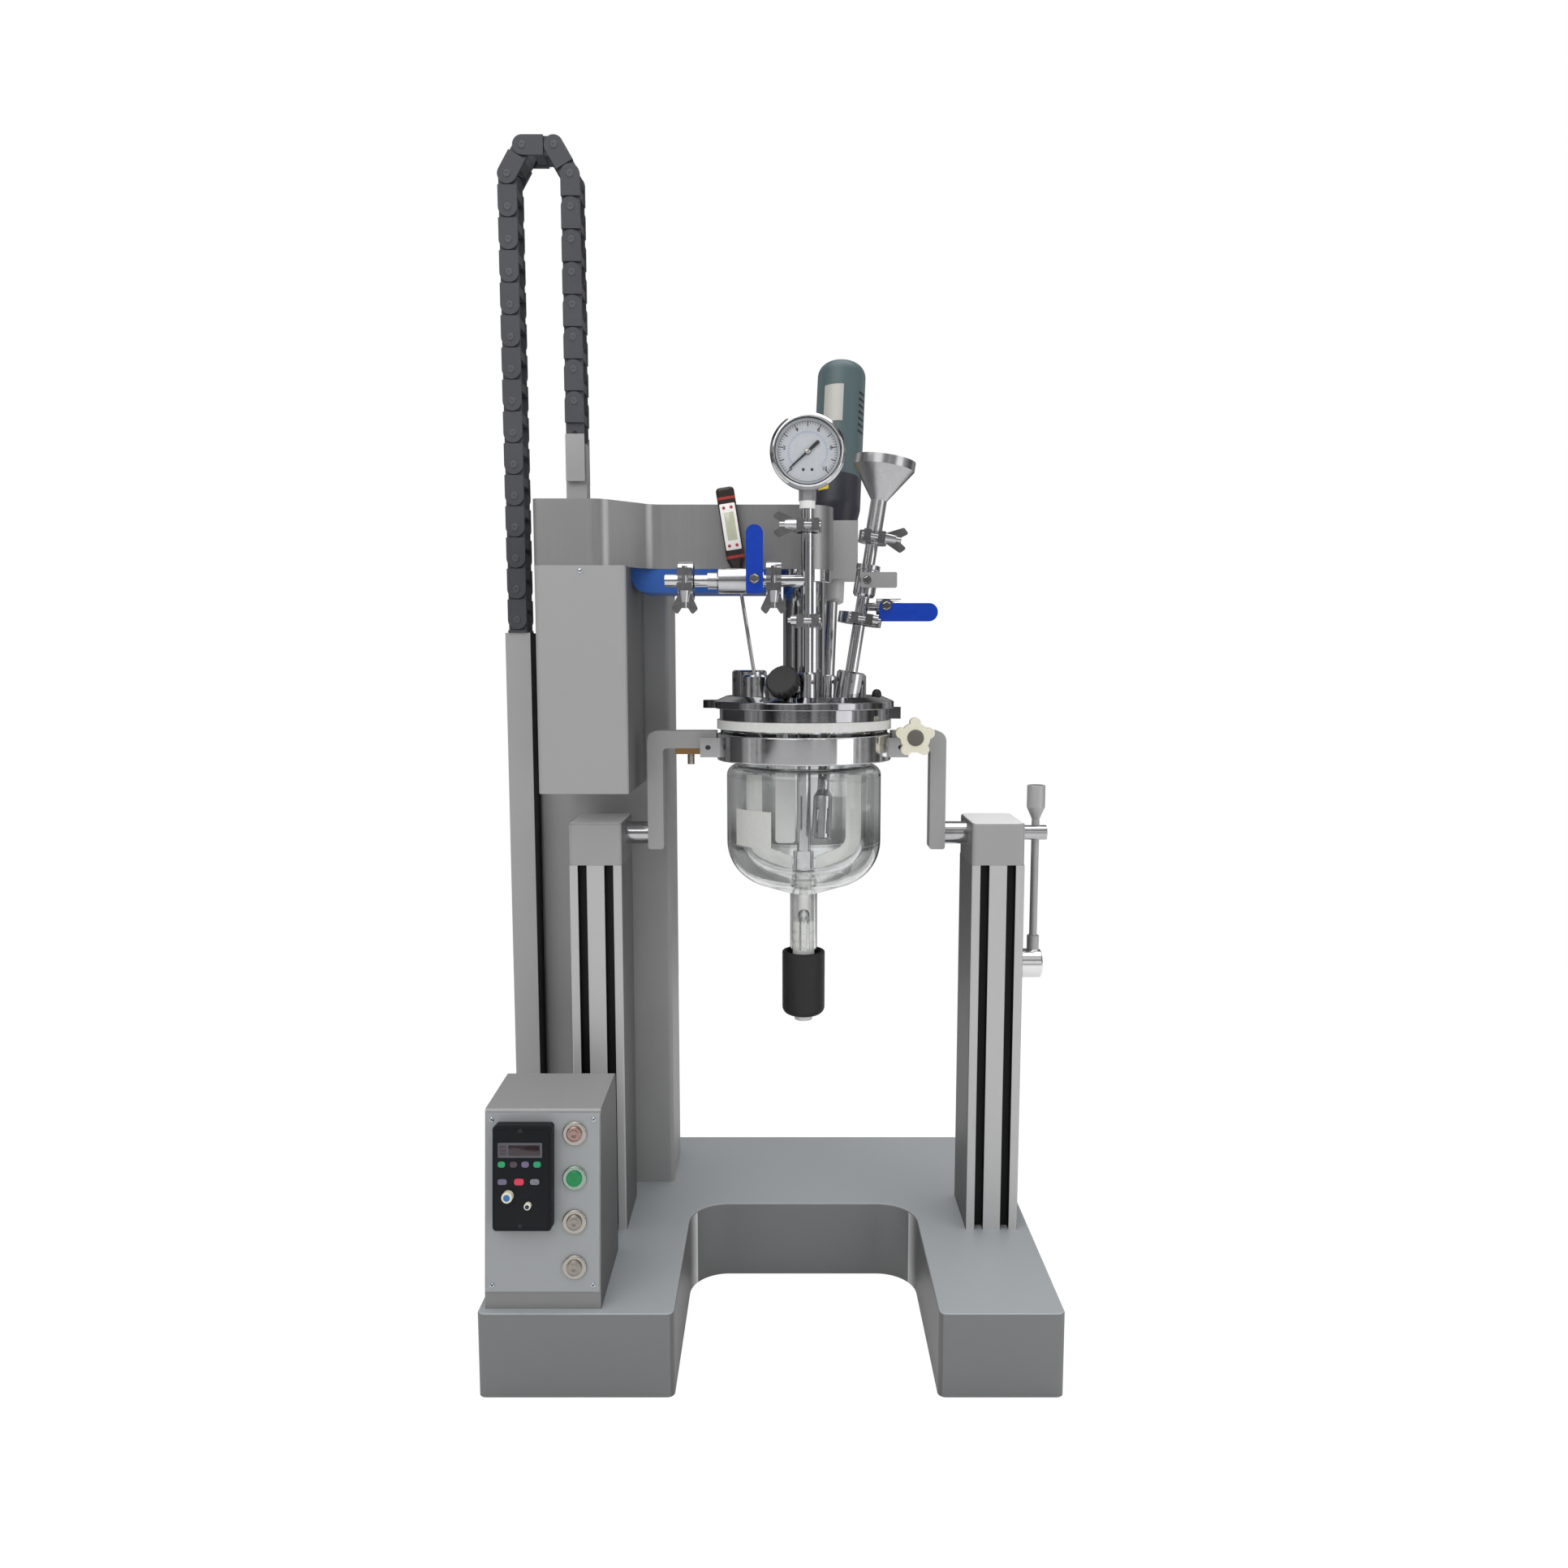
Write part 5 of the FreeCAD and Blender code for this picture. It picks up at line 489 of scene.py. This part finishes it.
def turned(name, profile, body, slot_name, material, place, steps=48, centre=(0, 0)):
    """A round piece from one lathed profile."""
    bm = bmesh.new()
    lathe(bm, profile, steps, centre)
    piece(name, bm, body, slot_name, material, place)


def plate(name, size, centre, rounding, edge, body, slot_name, material, place):
    """A flat piece with rounded corners and an eased rim."""
    bm = bmesh.new()
    block(bm, size, centre, rounding, edge)
    piece(name, bm, body, slot_name, material, place)


print("mesh helpers ready")

# %% [markdown]
# Pan-head screws hold the control panel and the drive box. A real head is a flat dome with a cross
# recess. The dome is lathed, and two thin dark bars crossed in its top are painted shade that stands for the recess.

# %% Screws
screw_steel = texture(shade("zinc_plated_screw", "#d6dae2", 0.25, 1.0), "#c8ccd6", "#e4e8f0", (0.18, 0.3),
                      FINE_GRAIN, 0.00001)
recess_black = texture(shade("shadowed_recess", "#1a1c22", 0.6), "#14161b", "#22252c", (0.5, 0.7),
                       FINE_GRAIN, 0.00001)


def screw(name, place, body, slot_name, radius=2.6, height=1.6):
    turned(name, [(0, height), (radius * 0.55, height * 0.94), (radius * 0.88, height * 0.6), (radius, 0.2),
                  (radius, 0), (0, 0)], body, slot_name, screw_steel, place, 28)
    bm = bmesh.new()
    for turn in (40, 130):
        made = bmesh.ops.create_cube(bm, size=1.0)["verts"]
        bmesh.ops.scale(bm, vec=(radius * 1.15, radius * 0.24, 0.3), verts=made)
        bmesh.ops.rotate(bm, matrix=Matrix.Rotation(math.radians(turn), 3, "Z"), verts=made)
        bmesh.ops.translate(bm, vec=(0, 0, height * 0.93), verts=made)
    # The crossed bars are painted shade in place of the recess.
    piece(name + "_cross_shade", bm, body, slot_name, recess_black, place)


for i, (across, down) in enumerate(((7.4, 10), (111.6, 10), (8, 179), (111.2, 179))):
    screw("panel_screw_%d" % (i + 1), panel_place(across, down, 2.0), "stand", "grey_paint")
screw("drive_box_screw", facing((-0.205, -0.080, 0.846), (0, -1, 0)), "head", "grey_paint", 2.8)

# %% [markdown]
# The speed controller is a moulded black module with a framed display window, two rows of soft
# keys, and two small knobs. Its front is built up in layers of 0.3 to 1 mm. Their heights are guessed.

# %% Speed controller
INVERTER = (11.7, 12.4, 16.0)


def on_module(across, down, out=0.0):
    """A frame on the controller's front, from its top left corner."""
    return panel_place(INVERTER[0] + across, INVERTER[1] + down, INVERTER[2] + out)


frame_grey = texture(shade("printed_grey_frame", "#55565c", 0.5), "#4f5056", "#5c5d63", (0.42, 0.56),
                     FINE_GRAIN, 0.00002)
display_red = texture(shade("tinted_display_window", "#2b1c22", 0.12, 0.0, Coat_Weight=0.5), "#26181e", "#332229",
                      (0.08, 0.16), (500, 500, 500), 0.00001)


def soft_key(name, middle, dark, light):
    return texture(shade("soft_" + name, middle, 0.5), dark, light, (0.42, 0.56), FINE_GRAIN, 0.00002)


key_green = soft_key("key_green", "#1f9a68", "#1b8f60", "#25a571")
key_red = soft_key("key_red", "#d23650", "#c62f48", "#dc4059")
key_grey = soft_key("key_grey", "#77767f", "#6f6e77", "#807f88")
key_violet = soft_key("key_violet", "#6c6480", "#655d78", "#746c89")
key_dark = soft_key("key_dark", "#4c3d47", "#453741", "#54444f")
blue_cap = texture(shade("blue_knob_cap", "#2f6fa6", 0.35), "#2a6699", "#3679b3", (0.28, 0.4), FINE_GRAIN, 0.00002)
navy_plate = texture(shade("navy_dial_plate", "#1a2350", 0.45), "#161f48", "#1f295b", (0.4, 0.52), FINE_GRAIN, 0.00002)

plate("controller_front_plate", (54.5, 98.0, 0.6), (0, 0, 0.3), 3.0, 0.25, "stand", "dark_plastic", inverter_abs,
      on_module(29.8, 53.1))
plate("controller_display_frame", (44.8, 15.0, 0.6), (0, 0, 0.9), 0.8, 0.2, "stand", "dark_plastic", frame_grey,
      on_module(28.0, 24.5))
plate("controller_display_window", (31.5, 10.4, 0.4), (0, 0, 1.3), 0.5, 0.1, "stand", "dark_plastic", display_red,
      on_module(32.2, 24.5))
bm = bmesh.new()
for row in range(3):
    block(bm, (7.2, 2.4, 0.3), (0, 3.6 - 3.6 * row, 1.3), 0.4)
piece("controller_display_lamps", bm, "stand", "dark_plastic", key_dark, on_module(10.6, 24.5))
KEYS = [(9.3, 38.8, 7.6, 6.0, key_green), (21.5, 38.8, 7.6, 6.0, key_dark), (33.2, 38.8, 7.6, 6.0, key_violet),
        (45.3, 38.8, 7.6, 6.0, key_green), (10.1, 56.4, 9.4, 5.8, key_violet), (27.0, 56.4, 9.8, 6.6, key_red),
        (42.8, 56.4, 9.4, 5.8, key_grey)]
for i, (across, down, width, height, material) in enumerate(KEYS):
    plate("controller_key_%d" % (i + 1), (width, height, 1.0), (0, 0, 1.0), 2.4, 0.4, "stand", "dark_plastic", material,
          on_module(across, down))
for i, down in enumerate((5.4, 101.0)):
    turned("controller_fixing_%d" % (i + 1), [(0, 0.7), (1.9, 0.7), (2.3, 0.3), (2.3, 0), (0, 0)], "stand",
           "dark_plastic", recess_black, on_module(28.0, down), 24)
turned("speed_knob_cap", [(0, 0.9), (2.6, 0.8), (3.4, 0.4), (3.4, 0), (0, 0)], "speed_knob", "dark_plastic", blue_cap,
       panel_place(27.9, 82.6, 24.0), 32)
turned("trim_knob_cap", [(0, 0.7), (1.7, 0.6), (2.2, 0.3), (2.2, 0), (0, 0)], "trim", "dark_plastic", navy_plate,
       panel_place(48.0, 92.2, 22.0), 32)

# %% [markdown]
# The push buttons are 22 mm metal pilots: a spun rim and a face with fine turned rings. The second
# one has a green lit cap. A dished disc lies on each CAD cap.

# %% Push-button faces
BUTTON_RINGS = [(0, 0.1), (2.0, 0.12), (2.3, 0.3), (4.6, 0.34), (5.0, 0.2), (6.4, 0.22), (6.9, 0.4), (7.3, 0.2),
                (7.3, 0), (0, 0)]
for i, (down, material) in enumerate(((24.0, button_pink), (69.4, button_green), (114.0, button_metal),
                                      (160.2, button_metal))):
    turned("button_face_%d" % (i + 1), BUTTON_RINGS, "button_%d" % (i + 1), "satin_steel", material,
           panel_place(92.3, down, 7.5))
print("button faces made")

# %% [markdown]
# The gauge has a printed dial behind a flat window. The dial is a thin disc; its ticks are thin
# blocks turned round the centre, and the numbers are text turned into mesh before it is placed.

# %% Gauge dial and window
GAUGE = Vector((0.038, -0.072, 0.970))
DIAL = GAUGE + Vector((0, -0.010, 0))
dial_white = texture(shade("printed_dial_card", "#c6c9ce", 0.5), "#c1c4ca", "#cccfd4", (0.45, 0.56),
                     (300, 300, 300), 0.00001)
print_black = texture(shade("printed_black_ink", "#23242a", 0.5), "#1d1e24", "#2b2c33", (0.45, 0.56), FINE_GRAIN,
                      0.00001)
print_blue = texture(shade("printed_blue_ink", "#5b86b8", 0.5), "#537eb0", "#648fc0", (0.45, 0.56), FINE_GRAIN, 0.00001)
DIAL_FRAME = facing(DIAL, (0, -1, 0))
START, SWEEP = -135.0, 270.0
turned("gauge_dial", [(1.8, 0), (34.6, 0), (34.6, 0.3), (1.8, 0.3), (1.8, 0)], "head", "white_seal", dial_white,
       DIAL_FRAME, 96)


def ticks(name, count, radius, length, width, material):
    """A row of printed marks round the dial, as thin blocks."""
    bm = bmesh.new()
    for i in range(count + 1):
        made = bmesh.ops.create_cube(bm, size=1.0)["verts"]
        bmesh.ops.scale(bm, vec=(width, length, 0.12), verts=made)
        bmesh.ops.translate(bm, vec=(0, radius - length / 2, 0.36), verts=made)
        bmesh.ops.rotate(bm, cent=(0, 0, 0), matrix=Matrix.Rotation(-math.radians(START + SWEEP * i / count), 3, "Z"),
                         verts=made)
    piece(name, bm, "head", "black_plastic", material, DIAL_FRAME)


ticks("gauge_ticks_large", 10, 31.0, 5.0, 1.0, print_black)
ticks("gauge_ticks_small", 50, 31.0, 2.6, 0.45, print_black)
ticks("gauge_ticks_inner", 40, 21.5, 2.2, 0.5, print_blue)
turned("gauge_scale_ring", [(31.0, 0.3), (31.4, 0.3), (31.4, 0.42), (31.0, 0.42), (31.0, 0.3)], "head",
       "black_plastic", print_black, DIAL_FRAME, 96)
for i in range(6):
    curve = bpy.data.curves.new("dial_number", "FONT")
    curve.body = str(2 * i)
    curve.size = 5.6
    curve.offset = 0.12
    curve.align_x = "CENTER"
    curve.align_y = "CENTER"
    curve.extrude = 0.06
    text = bpy.data.objects.new("dial_number", curve)
    mesh = bpy.data.meshes.new_from_object(text)
    bpy.data.objects.remove(text)
    bm = bmesh.new()
    bm.from_mesh(mesh)
    angle = math.radians(START + SWEEP * i / 5)
    bmesh.ops.translate(bm, vec=(25.0 * math.sin(angle), 25.0 * math.cos(angle), 0.4), verts=bm.verts)
    piece("gauge_number_%d" % (2 * i), bm, "head", "black_plastic", print_black, DIAL_FRAME)
for i, across in enumerate((-4.6, 4.6)):
    turned("gauge_dial_screw_%d" % (i + 1), [(0, 0.9), (1.3, 0.8), (1.6, 0.3), (0, 0.3)], "head", "black_plastic",
           print_black, DIAL_FRAME, 24, (across, -18.5))
turned("gauge_window", [(0, 3.9), (34.7, 3.9), (34.7, 5.3), (0, 5.3)], "head", "borosilicate_glass", window_glass,
       DIAL_FRAME, 96)
turned("gauge_needle_hub", [(0, 0), (2.6, 0), (2.6, 0.5), (1.6, 1.0), (0, 1.1)], "needle", "polished_steel", nickel,
       facing(DIAL + Vector((0, -0.0025, 0)), (0, -1, 0)), 32)
turned("gauge_rim_bead", [(35.2, 6.0), (35.5, 6.8), (36.3, 7.4), (37.1, 7.2), (37.8, 6.6), (38.0, 6.0), (35.2, 6.0)],
       "head", "polished_steel", mirror_steel, DIAL_FRAME, 96)
turned("gauge_rim_seal", [(34.0, 5.35), (34.9, 5.35), (34.9, 5.9), (34.0, 5.9), (34.0, 5.35)], "head", "black_plastic",
       print_black, DIAL_FRAME, 96)

# %% [markdown]
# The pen thermometer has a white printed front with a grey-green liquid-crystal window and four red
# rubber buttons. They lie on the handle's front, in the handle's own leaning frame.

# %% Thermometer front
PROBE_X = Vector(Y).cross(PROBE_AXIS).normalized()


def on_probe(height):
    """A frame on the handle's front: X across, Y up the handle, Z towards the operator."""
    spot = PROBE + PROBE_AXIS * height * MM + Vector((0, -7 * MM, 0))
    return axes_at(spot, PROBE_X, PROBE_AXIS, Vector((0, -1, 0)))


label_white = texture(shade("printed_white_front", "#ece8e6", 0.4), "#e6e2e0", "#f2efed", (0.34, 0.46),
                      (500, 500, 500), 0.00001)
crystal = texture(shade("liquid_crystal_window", "#b9bda4", 0.12, 0.0, Coat_Weight=0.6), "#b1b59c", "#c2c6ae",
                  (0.08, 0.16), (300, 300, 300), 0.00001)
rubber_red = texture(shade("red_rubber_button", "#b0233c", 0.5), "#a61f37", "#bb2c45", (0.42, 0.58), FINE_GRAIN,
                     0.00003)
plate("thermometer_front", (17.0, 50.0, 0.5), (0, 0, 0.2), 1.2, 0.2, "probe", "black_plastic", label_white,
      on_probe(187.0))
plate("thermometer_window", (10.6, 30.0, 0.4), (0.4, 0.0, 0.55), 0.6, 0.15, "probe", "black_plastic", crystal,
      on_probe(187.5))
for i, (across, height) in enumerate(((-4.1, 207.6), (4.1, 207.6), (-4.3, 166.6), (3.9, 166.6))):
    turned("thermometer_button_%d" % (i + 1), [(0, 1.3), (1.2, 1.2), (1.7, 0.7), (1.7, 0.3), (0, 0.3)], "probe",
           "black_plastic", rubber_red, on_probe(height), 24, (across, 0))

# %% [markdown]
# The homogenizer drive is a hand-held motor in a slate shell. Its front carries a bare silver plate
# and a row of thin dark strips, painted shade that stands for its cooling slots. A plate is bent by
# placing each vertex on a cylinder, and so is the vessel's bare label.

# %% Homogenizer drive details
plate_silver = texture(shade("anodised_blank_plate", "#b4b3ae", 0.45, 0.2), "#acaba6", "#bcbbb6", (0.4, 0.5),
                       (ALONG, BRUSH, BRUSH), 0.00001)
STEM = Vector((0.064, 0.024, 0.711))
drive_x = Vector(Y).cross(LEAN).normalized()
drive_y = LEAN.cross(drive_x).normalized()
DRIVE_FRAME = axes_at(STEM, drive_x, drive_y, LEAN)


def wrapped(name, angle, height, width, length, proud_by, material, shell=29.0, place=DRIVE_FRAME,
            owner=("head", "slate_plastic")):
    """A thin plate bent round a round shell. angle is measured from the front, in degrees."""
    bm = bmesh.new()
    bmesh.ops.create_grid(bm, x_segments=12, y_segments=2, size=0.5)
    bmesh.ops.scale(bm, vec=(width, length, 1), verts=bm.verts)
    extruded = bmesh.ops.extrude_face_region(bm, geom=bm.faces[:])["geom"]
    upper = [v for v in extruded if isinstance(v, bmesh.types.BMVert)]
    bmesh.ops.translate(bm, vec=(0, 0, 0.4 + proud_by), verts=upper)
    for v in bm.verts:
        turn = math.radians(angle - 90) + v.co.x / shell
        radius = shell - 0.2 + v.co.z
        v.co = (radius * math.cos(turn), radius * math.sin(turn), height + v.co.y)
    piece(name, bm, *owner, material, place)


wrapped("drive_blank_plate", -20, 348, 24, 46, 0.3, plate_silver)
# Painted shade: thin dark strips stand for the cooling slots.
for i in range(7):
    wrapped("drive_vent_%d" % (i + 1), 58, 318 + 8 * i, 12, 2.6, 0.05, recess_black)
yellow_patch = texture(shade("plain_yellow_patch", "#d8c22a", 0.5), "#d0ba24", "#e0ca32", (0.45, 0.55),
                       (500, 500, 500), 0.00001)
wrapped("drive_yellow_patch", -36, 247, 14, 12, 0.1, yellow_patch)
blank_label = texture(shade("blank_film_label", "#c4c4c1", 0.5), "#bebebb", "#cacac7", (0.44, 0.56),
                      (300, 300, 300), 0.00001)
wrapped("vessel_blank_label", -41.5, 565.5, 53, 41, 0.0, blank_label, 89.3, axes_at((0.036, 0, 0), X, Y, Z),
        ("stand", "white_seal"))
print("drive details made")

# %% [markdown]
# Each valve lever is held by a hex nut and a washer at the end of its stem. The nuts start as
# six-sided cylinders with an eased rim.

# %% Lever nuts
def hex_nut(name, spot, direction, body, across=8.0, height=4.0, washer=5.4):
    bm = bmesh.new()
    lathe(bm, [(0, 0), (washer, 0), (washer, 0.8), (0, 0.8)], 32)
    made = bmesh.ops.create_cone(bm, cap_ends=True, segments=6, radius1=across / 1.732, radius2=across / 1.732,
                                 depth=height)["verts"]
    bmesh.ops.translate(bm, vec=(0, 0, 0.8 + height / 2), verts=made)
    rims = [e for e in bm.edges if e.verts[0] in made and abs(e.verts[0].co.z - e.verts[1].co.z) < 0.01]
    bmesh.ops.bevel(bm, geom=rims, offset=0.5, segments=1, affect="EDGES", profile=0.5, material=-1)
    piece(name, bm, body, "polished_steel", nut_steel, facing(spot, direction))


hex_nut("vacuum_lever_nut", (-0.018, -0.1055, 0.836), (0, -1, 0), "vacuum_lever")
hex_nut("feed_lever_nut", (0.126, -0.0435, 0.811), (0, -1, 0), "feed_lever")
hex_nut("small_handle_nut", (0.104848, -0.040, 0.8395), (0, -1, 0), "small_handle", 7.0, 3.2, 4.6)
print("lever nuts made")

# %% [markdown]
# Every pivot of the cable chain shows a pin head with a small centre dimple. The heads are lathed
# once for each pivot and lie on the outer face of the link whose lobe they hold.

# %% Chain pin heads
PITCH = 36.0
CHAIN_FRONT = 0.048


def pin_head(name, x, z, body):
    turned(name, [(0, 0.3), (1.1, 0.4), (1.5, 0.9), (3.6, 0.9), (4.3, 0.4), (4.3, 0), (0, 0)], body, "chain_plastic",
           pin_nylon, facing((x, CHAIN_FRONT, z), (0, -1, 0)), 20)


for i in range(14):
    pin_head("chain_pin_fixed_%d" % (i + 1), -0.303, (799 + PITCH * i) * MM, "stand")
spot = Vector((-0.303, 0, 1.303))
heading = 0.0
RIDERS = ["link_1", "link_2", "link_3", "link_3", "link_4", "link_5"] + ["moving_run"] * 5
for i, body in enumerate(RIDERS):
    pin_head("chain_pin_loop_%d" % (i + 1), spot.x, spot.z, body)
    heading += (30, 60, 60, 30)[i] if i < 4 else 0
    spot += Vector((math.sin(math.radians(heading)), 0, math.cos(math.radians(heading)))) * PITCH * MM
print("chain ends at", tuple(round(c, 4) for c in spot))

# %% [markdown]
# A black dome bolt at the right of the lid, and the star knob's dark centre cap.

# %% Small fittings
turned("lid_dome_bolt", [(0, 8), (2.6, 7.4), (4.6, 5.4), (5.4, 3), (5.4, 0), (0, 0)], "head", "black_plastic",
       black_phenolic, facing((0.118, -0.020, 0.711), Z, Y), 32)
knurl = texture(shade("knurled_dark_insert", "#55524e", 0.5, 0.3), "#3d3a37", "#77736d", (0.4, 0.6),
                (1400, 1400, 1400), 0.0003)
turned("star_knob_cap", [(0, 2.2), (8.0, 1.8), (9.2, 0.8), (9.2, 0), (0, 0)], "bracket_knob", "satin_steel", knurl,
       facing((0.160, -0.0430, 0.665), (0, -1, 0)), 40)
print("small fittings made")

# %% [markdown]
# The studio is a white floor under a white sky, and the floor keeps the object's shadow. Only the camera
# sees the sky as plain white. Polished steel reflects darker upright bands, as black cards round a
# product table give, so it shows streaks; and light bent by glass finds grey cards behind it, which
# draw the dark edges of the vessel. Diffuse surfaces are lit by a plain world and three softboxes.

# %% Studio
def grey(levels):
    """(position, brightness) pairs as ramp tones."""
    return [(position, (level, level, level, 1)) for position, level in levels]


def product(tree, first, second):
    return add(tree, "ShaderNodeMix", {"Factor": 1.0, 6: first, 7: second}, data_type="RGBA",
               blend_type="MULTIPLY").outputs[2]


# Brightness of the cards round the table, by degrees from straight behind the object.
CARDS = ((-180, 0.3), (-169, 0.3), (-165, 0.9), (-151, 0.95), (-147, 0.35), (-138, 0.06), (-128, 0.07), (-117, 0.85),
         (-100, 0.9), (-90, 0.22), (-68, 0.14), (-56, 0.88), (-42, 0.8), (-33, 0.1), (-10, 0.36), (10, 0.3), (24, 0.07),
         (40, 0.8), (56, 0.9), (66, 0.12), (88, 0.3), (99, 0.9), (112, 0.85), (122, 0.1), (136, 0.05), (142, 0.4),
         (154, 0.35), (158, 0.9), (168, 0.95), (172, 0.3), (180, 0.3))
# Their brightness by height, from level to overhead.
RISE = ((0.0, 0.55), (0.1, 0.4), (0.18, 1.0), (0.42, 1.0), (0.5, 0.3), (0.62, 0.35), (0.7, 1.1), (0.85, 1.0),
        (1.0, 0.8))
# What glass shows behind itself, from left to right and from low to high.
BEHIND = ((0.0, 0.3), (0.19, 0.2), (0.30, 0.26), (0.36, 0.4), (0.41, 0.75), (0.5, 0.6), (0.6, 0.8), (0.67, 0.7),
          (0.72, 0.3), (0.80, 0.22), (0.84, 0.5), (1.0, 0.3))
LAYERS = ((0.0, 1.0), (0.36, 1.1), (0.41, 0.2), (0.50, 0.25), (0.56, 0.9), (0.70, 0.8), (0.76, 1.1), (1.0, 1.0))
world = bpy.data.worlds.new("studio")
bpy.context.scene.world = world
world.use_nodes = True
tree = world.node_tree
tree.nodes.clear()
direction = add(tree, "ShaderNodeTexCoord").outputs["Generated"]
apart = add(tree, "ShaderNodeSeparateXYZ", {"Vector": direction})
azimuth = add(tree, "ShaderNodeMath", {0: apart.outputs["X"], 1: apart.outputs["Y"]}, operation="ARCTAN2")
turn = add(tree, "ShaderNodeMapRange", {"Value": azimuth.outputs[0], "From Min": -math.pi, "From Max": math.pi})
bands = ramp(tree, turn.outputs["Result"], grey([(0.5 + degrees / 360, level) for degrees, level in CARDS]))
fine = add(tree, "ShaderNodeTexNoise", {"W": turn.outputs["Result"], "Scale": 46.0, "Detail": 1.0},
           noise_dimensions="1D")
streak = add(tree, "ShaderNodeMapRange", {"Value": fine.outputs["Fac"], "From Min": 0.38, "From Max": 0.62,
                                          "To Min": 0.5, "To Max": 1.15})
rise = ramp(tree, apart.outputs["Z"], grey(RISE))
glossy = product(tree, product(tree, bands, rise), streak.outputs["Result"])
across = add(tree, "ShaderNodeMapRange", {"Value": apart.outputs["X"], "From Min": -0.10, "From Max": 0.14})
deep = add(tree, "ShaderNodeMapRange", {"Value": apart.outputs["Z"], "From Min": -0.35, "From Max": 0.05})
behind = product(tree, ramp(tree, across.outputs["Result"], grey(BEHIND)),
                 ramp(tree, deep.outputs["Result"], grey(LAYERS)))
rays = add(tree, "ShaderNodeLightPath")
plain = add(tree, "ShaderNodeBackground", {"Color": (1, 1, 1, 1), "Strength": 0.6})
banded = add(tree, "ShaderNodeBackground", {"Color": glossy, "Strength": 1.0})
white = add(tree, "ShaderNodeBackground", {"Color": (1, 1, 1, 1), "Strength": 1.0})
carded = add(tree, "ShaderNodeBackground", {"Color": behind, "Strength": 1.0})
shiny = add(tree, "ShaderNodeMixShader", {0: rays.outputs["Is Glossy Ray"], 1: plain.outputs[0], 2: banded.outputs[0]})
through = add(tree, "ShaderNodeMixShader", {0: rays.outputs["Is Transmission Ray"], 1: shiny.outputs[0],
                                            2: carded.outputs[0]})
final = add(tree, "ShaderNodeMixShader", {0: rays.outputs["Is Camera Ray"], 1: through.outputs[0], 2: white.outputs[0]})
add(tree, "ShaderNodeOutputWorld", {"Surface": final.outputs[0]})

FLOOR_HALF = 6.0
FLOOR_BACK = 1.4
FLOOR_GLOW = 1.08
GLOW_SHARE = 0.86
floor_paint = bpy.data.materials.new("white_studio_floor")
floor_paint.use_nodes = True
tree = floor_paint.node_tree
tree.nodes.clear()
rays = add(tree, "ShaderNodeLightPath")
share = add(tree, "ShaderNodeMath", {0: rays.outputs["Is Camera Ray"], 1: GLOW_SHARE}, operation="MULTIPLY")
diffuse = add(tree, "ShaderNodeBsdfDiffuse", {"Color": (0.9, 0.9, 0.9, 1), "Roughness": 1.0})
glow = add(tree, "ShaderNodeEmission", {"Color": (1, 1, 1, 1), "Strength": FLOOR_GLOW})
mixed = add(tree, "ShaderNodeMixShader", {0: share.outputs[0], 1: diffuse.outputs[0], 2: glow.outputs[0]})
add(tree, "ShaderNodeOutputMaterial", {"Surface": mixed.outputs[0]})
bm = bmesh.new()
bmesh.ops.create_grid(bm, x_segments=1, y_segments=1, size=FLOOR_HALF)
bmesh.ops.translate(bm, vec=(0, FLOOR_BACK - FLOOR_HALF, 0), verts=bm.verts)
mesh = bpy.data.meshes.new("floor")
bm.to_mesh(mesh)
bm.free()
mesh.materials.append(floor_paint)
floor = bpy.data.objects.new("floor", mesh)
bpy.context.scene.collection.objects.link(floor)


def lamp(name, spot, aim, size, power):
    light = bpy.data.lights.new(name, "AREA")
    light.shape = "RECTANGLE"
    light.size, light.size_y = size
    light.energy = power
    made = bpy.data.objects.new(name, light)
    bpy.context.scene.collection.objects.link(made)
    made.location = spot
    made.rotation_euler = (Vector(aim) - Vector(spot)).to_track_quat("-Z", "Y").to_euler()


lamp("key_softbox", (-1.1, -1.9, 2.4), (0, 0, 0.6), (2.0, 1.8), 22)
lamp("fill_softbox", (1.9, -1.4, 1.2), (0, 0, 0.7), (1.0, 1.8), 9)
lamp("top_softbox", (0.1, -0.1, 2.9), (0, 0, 0.3), (2.4, 2.0), 30)
print("studio ready")

# %% Finish
print("dressing done")
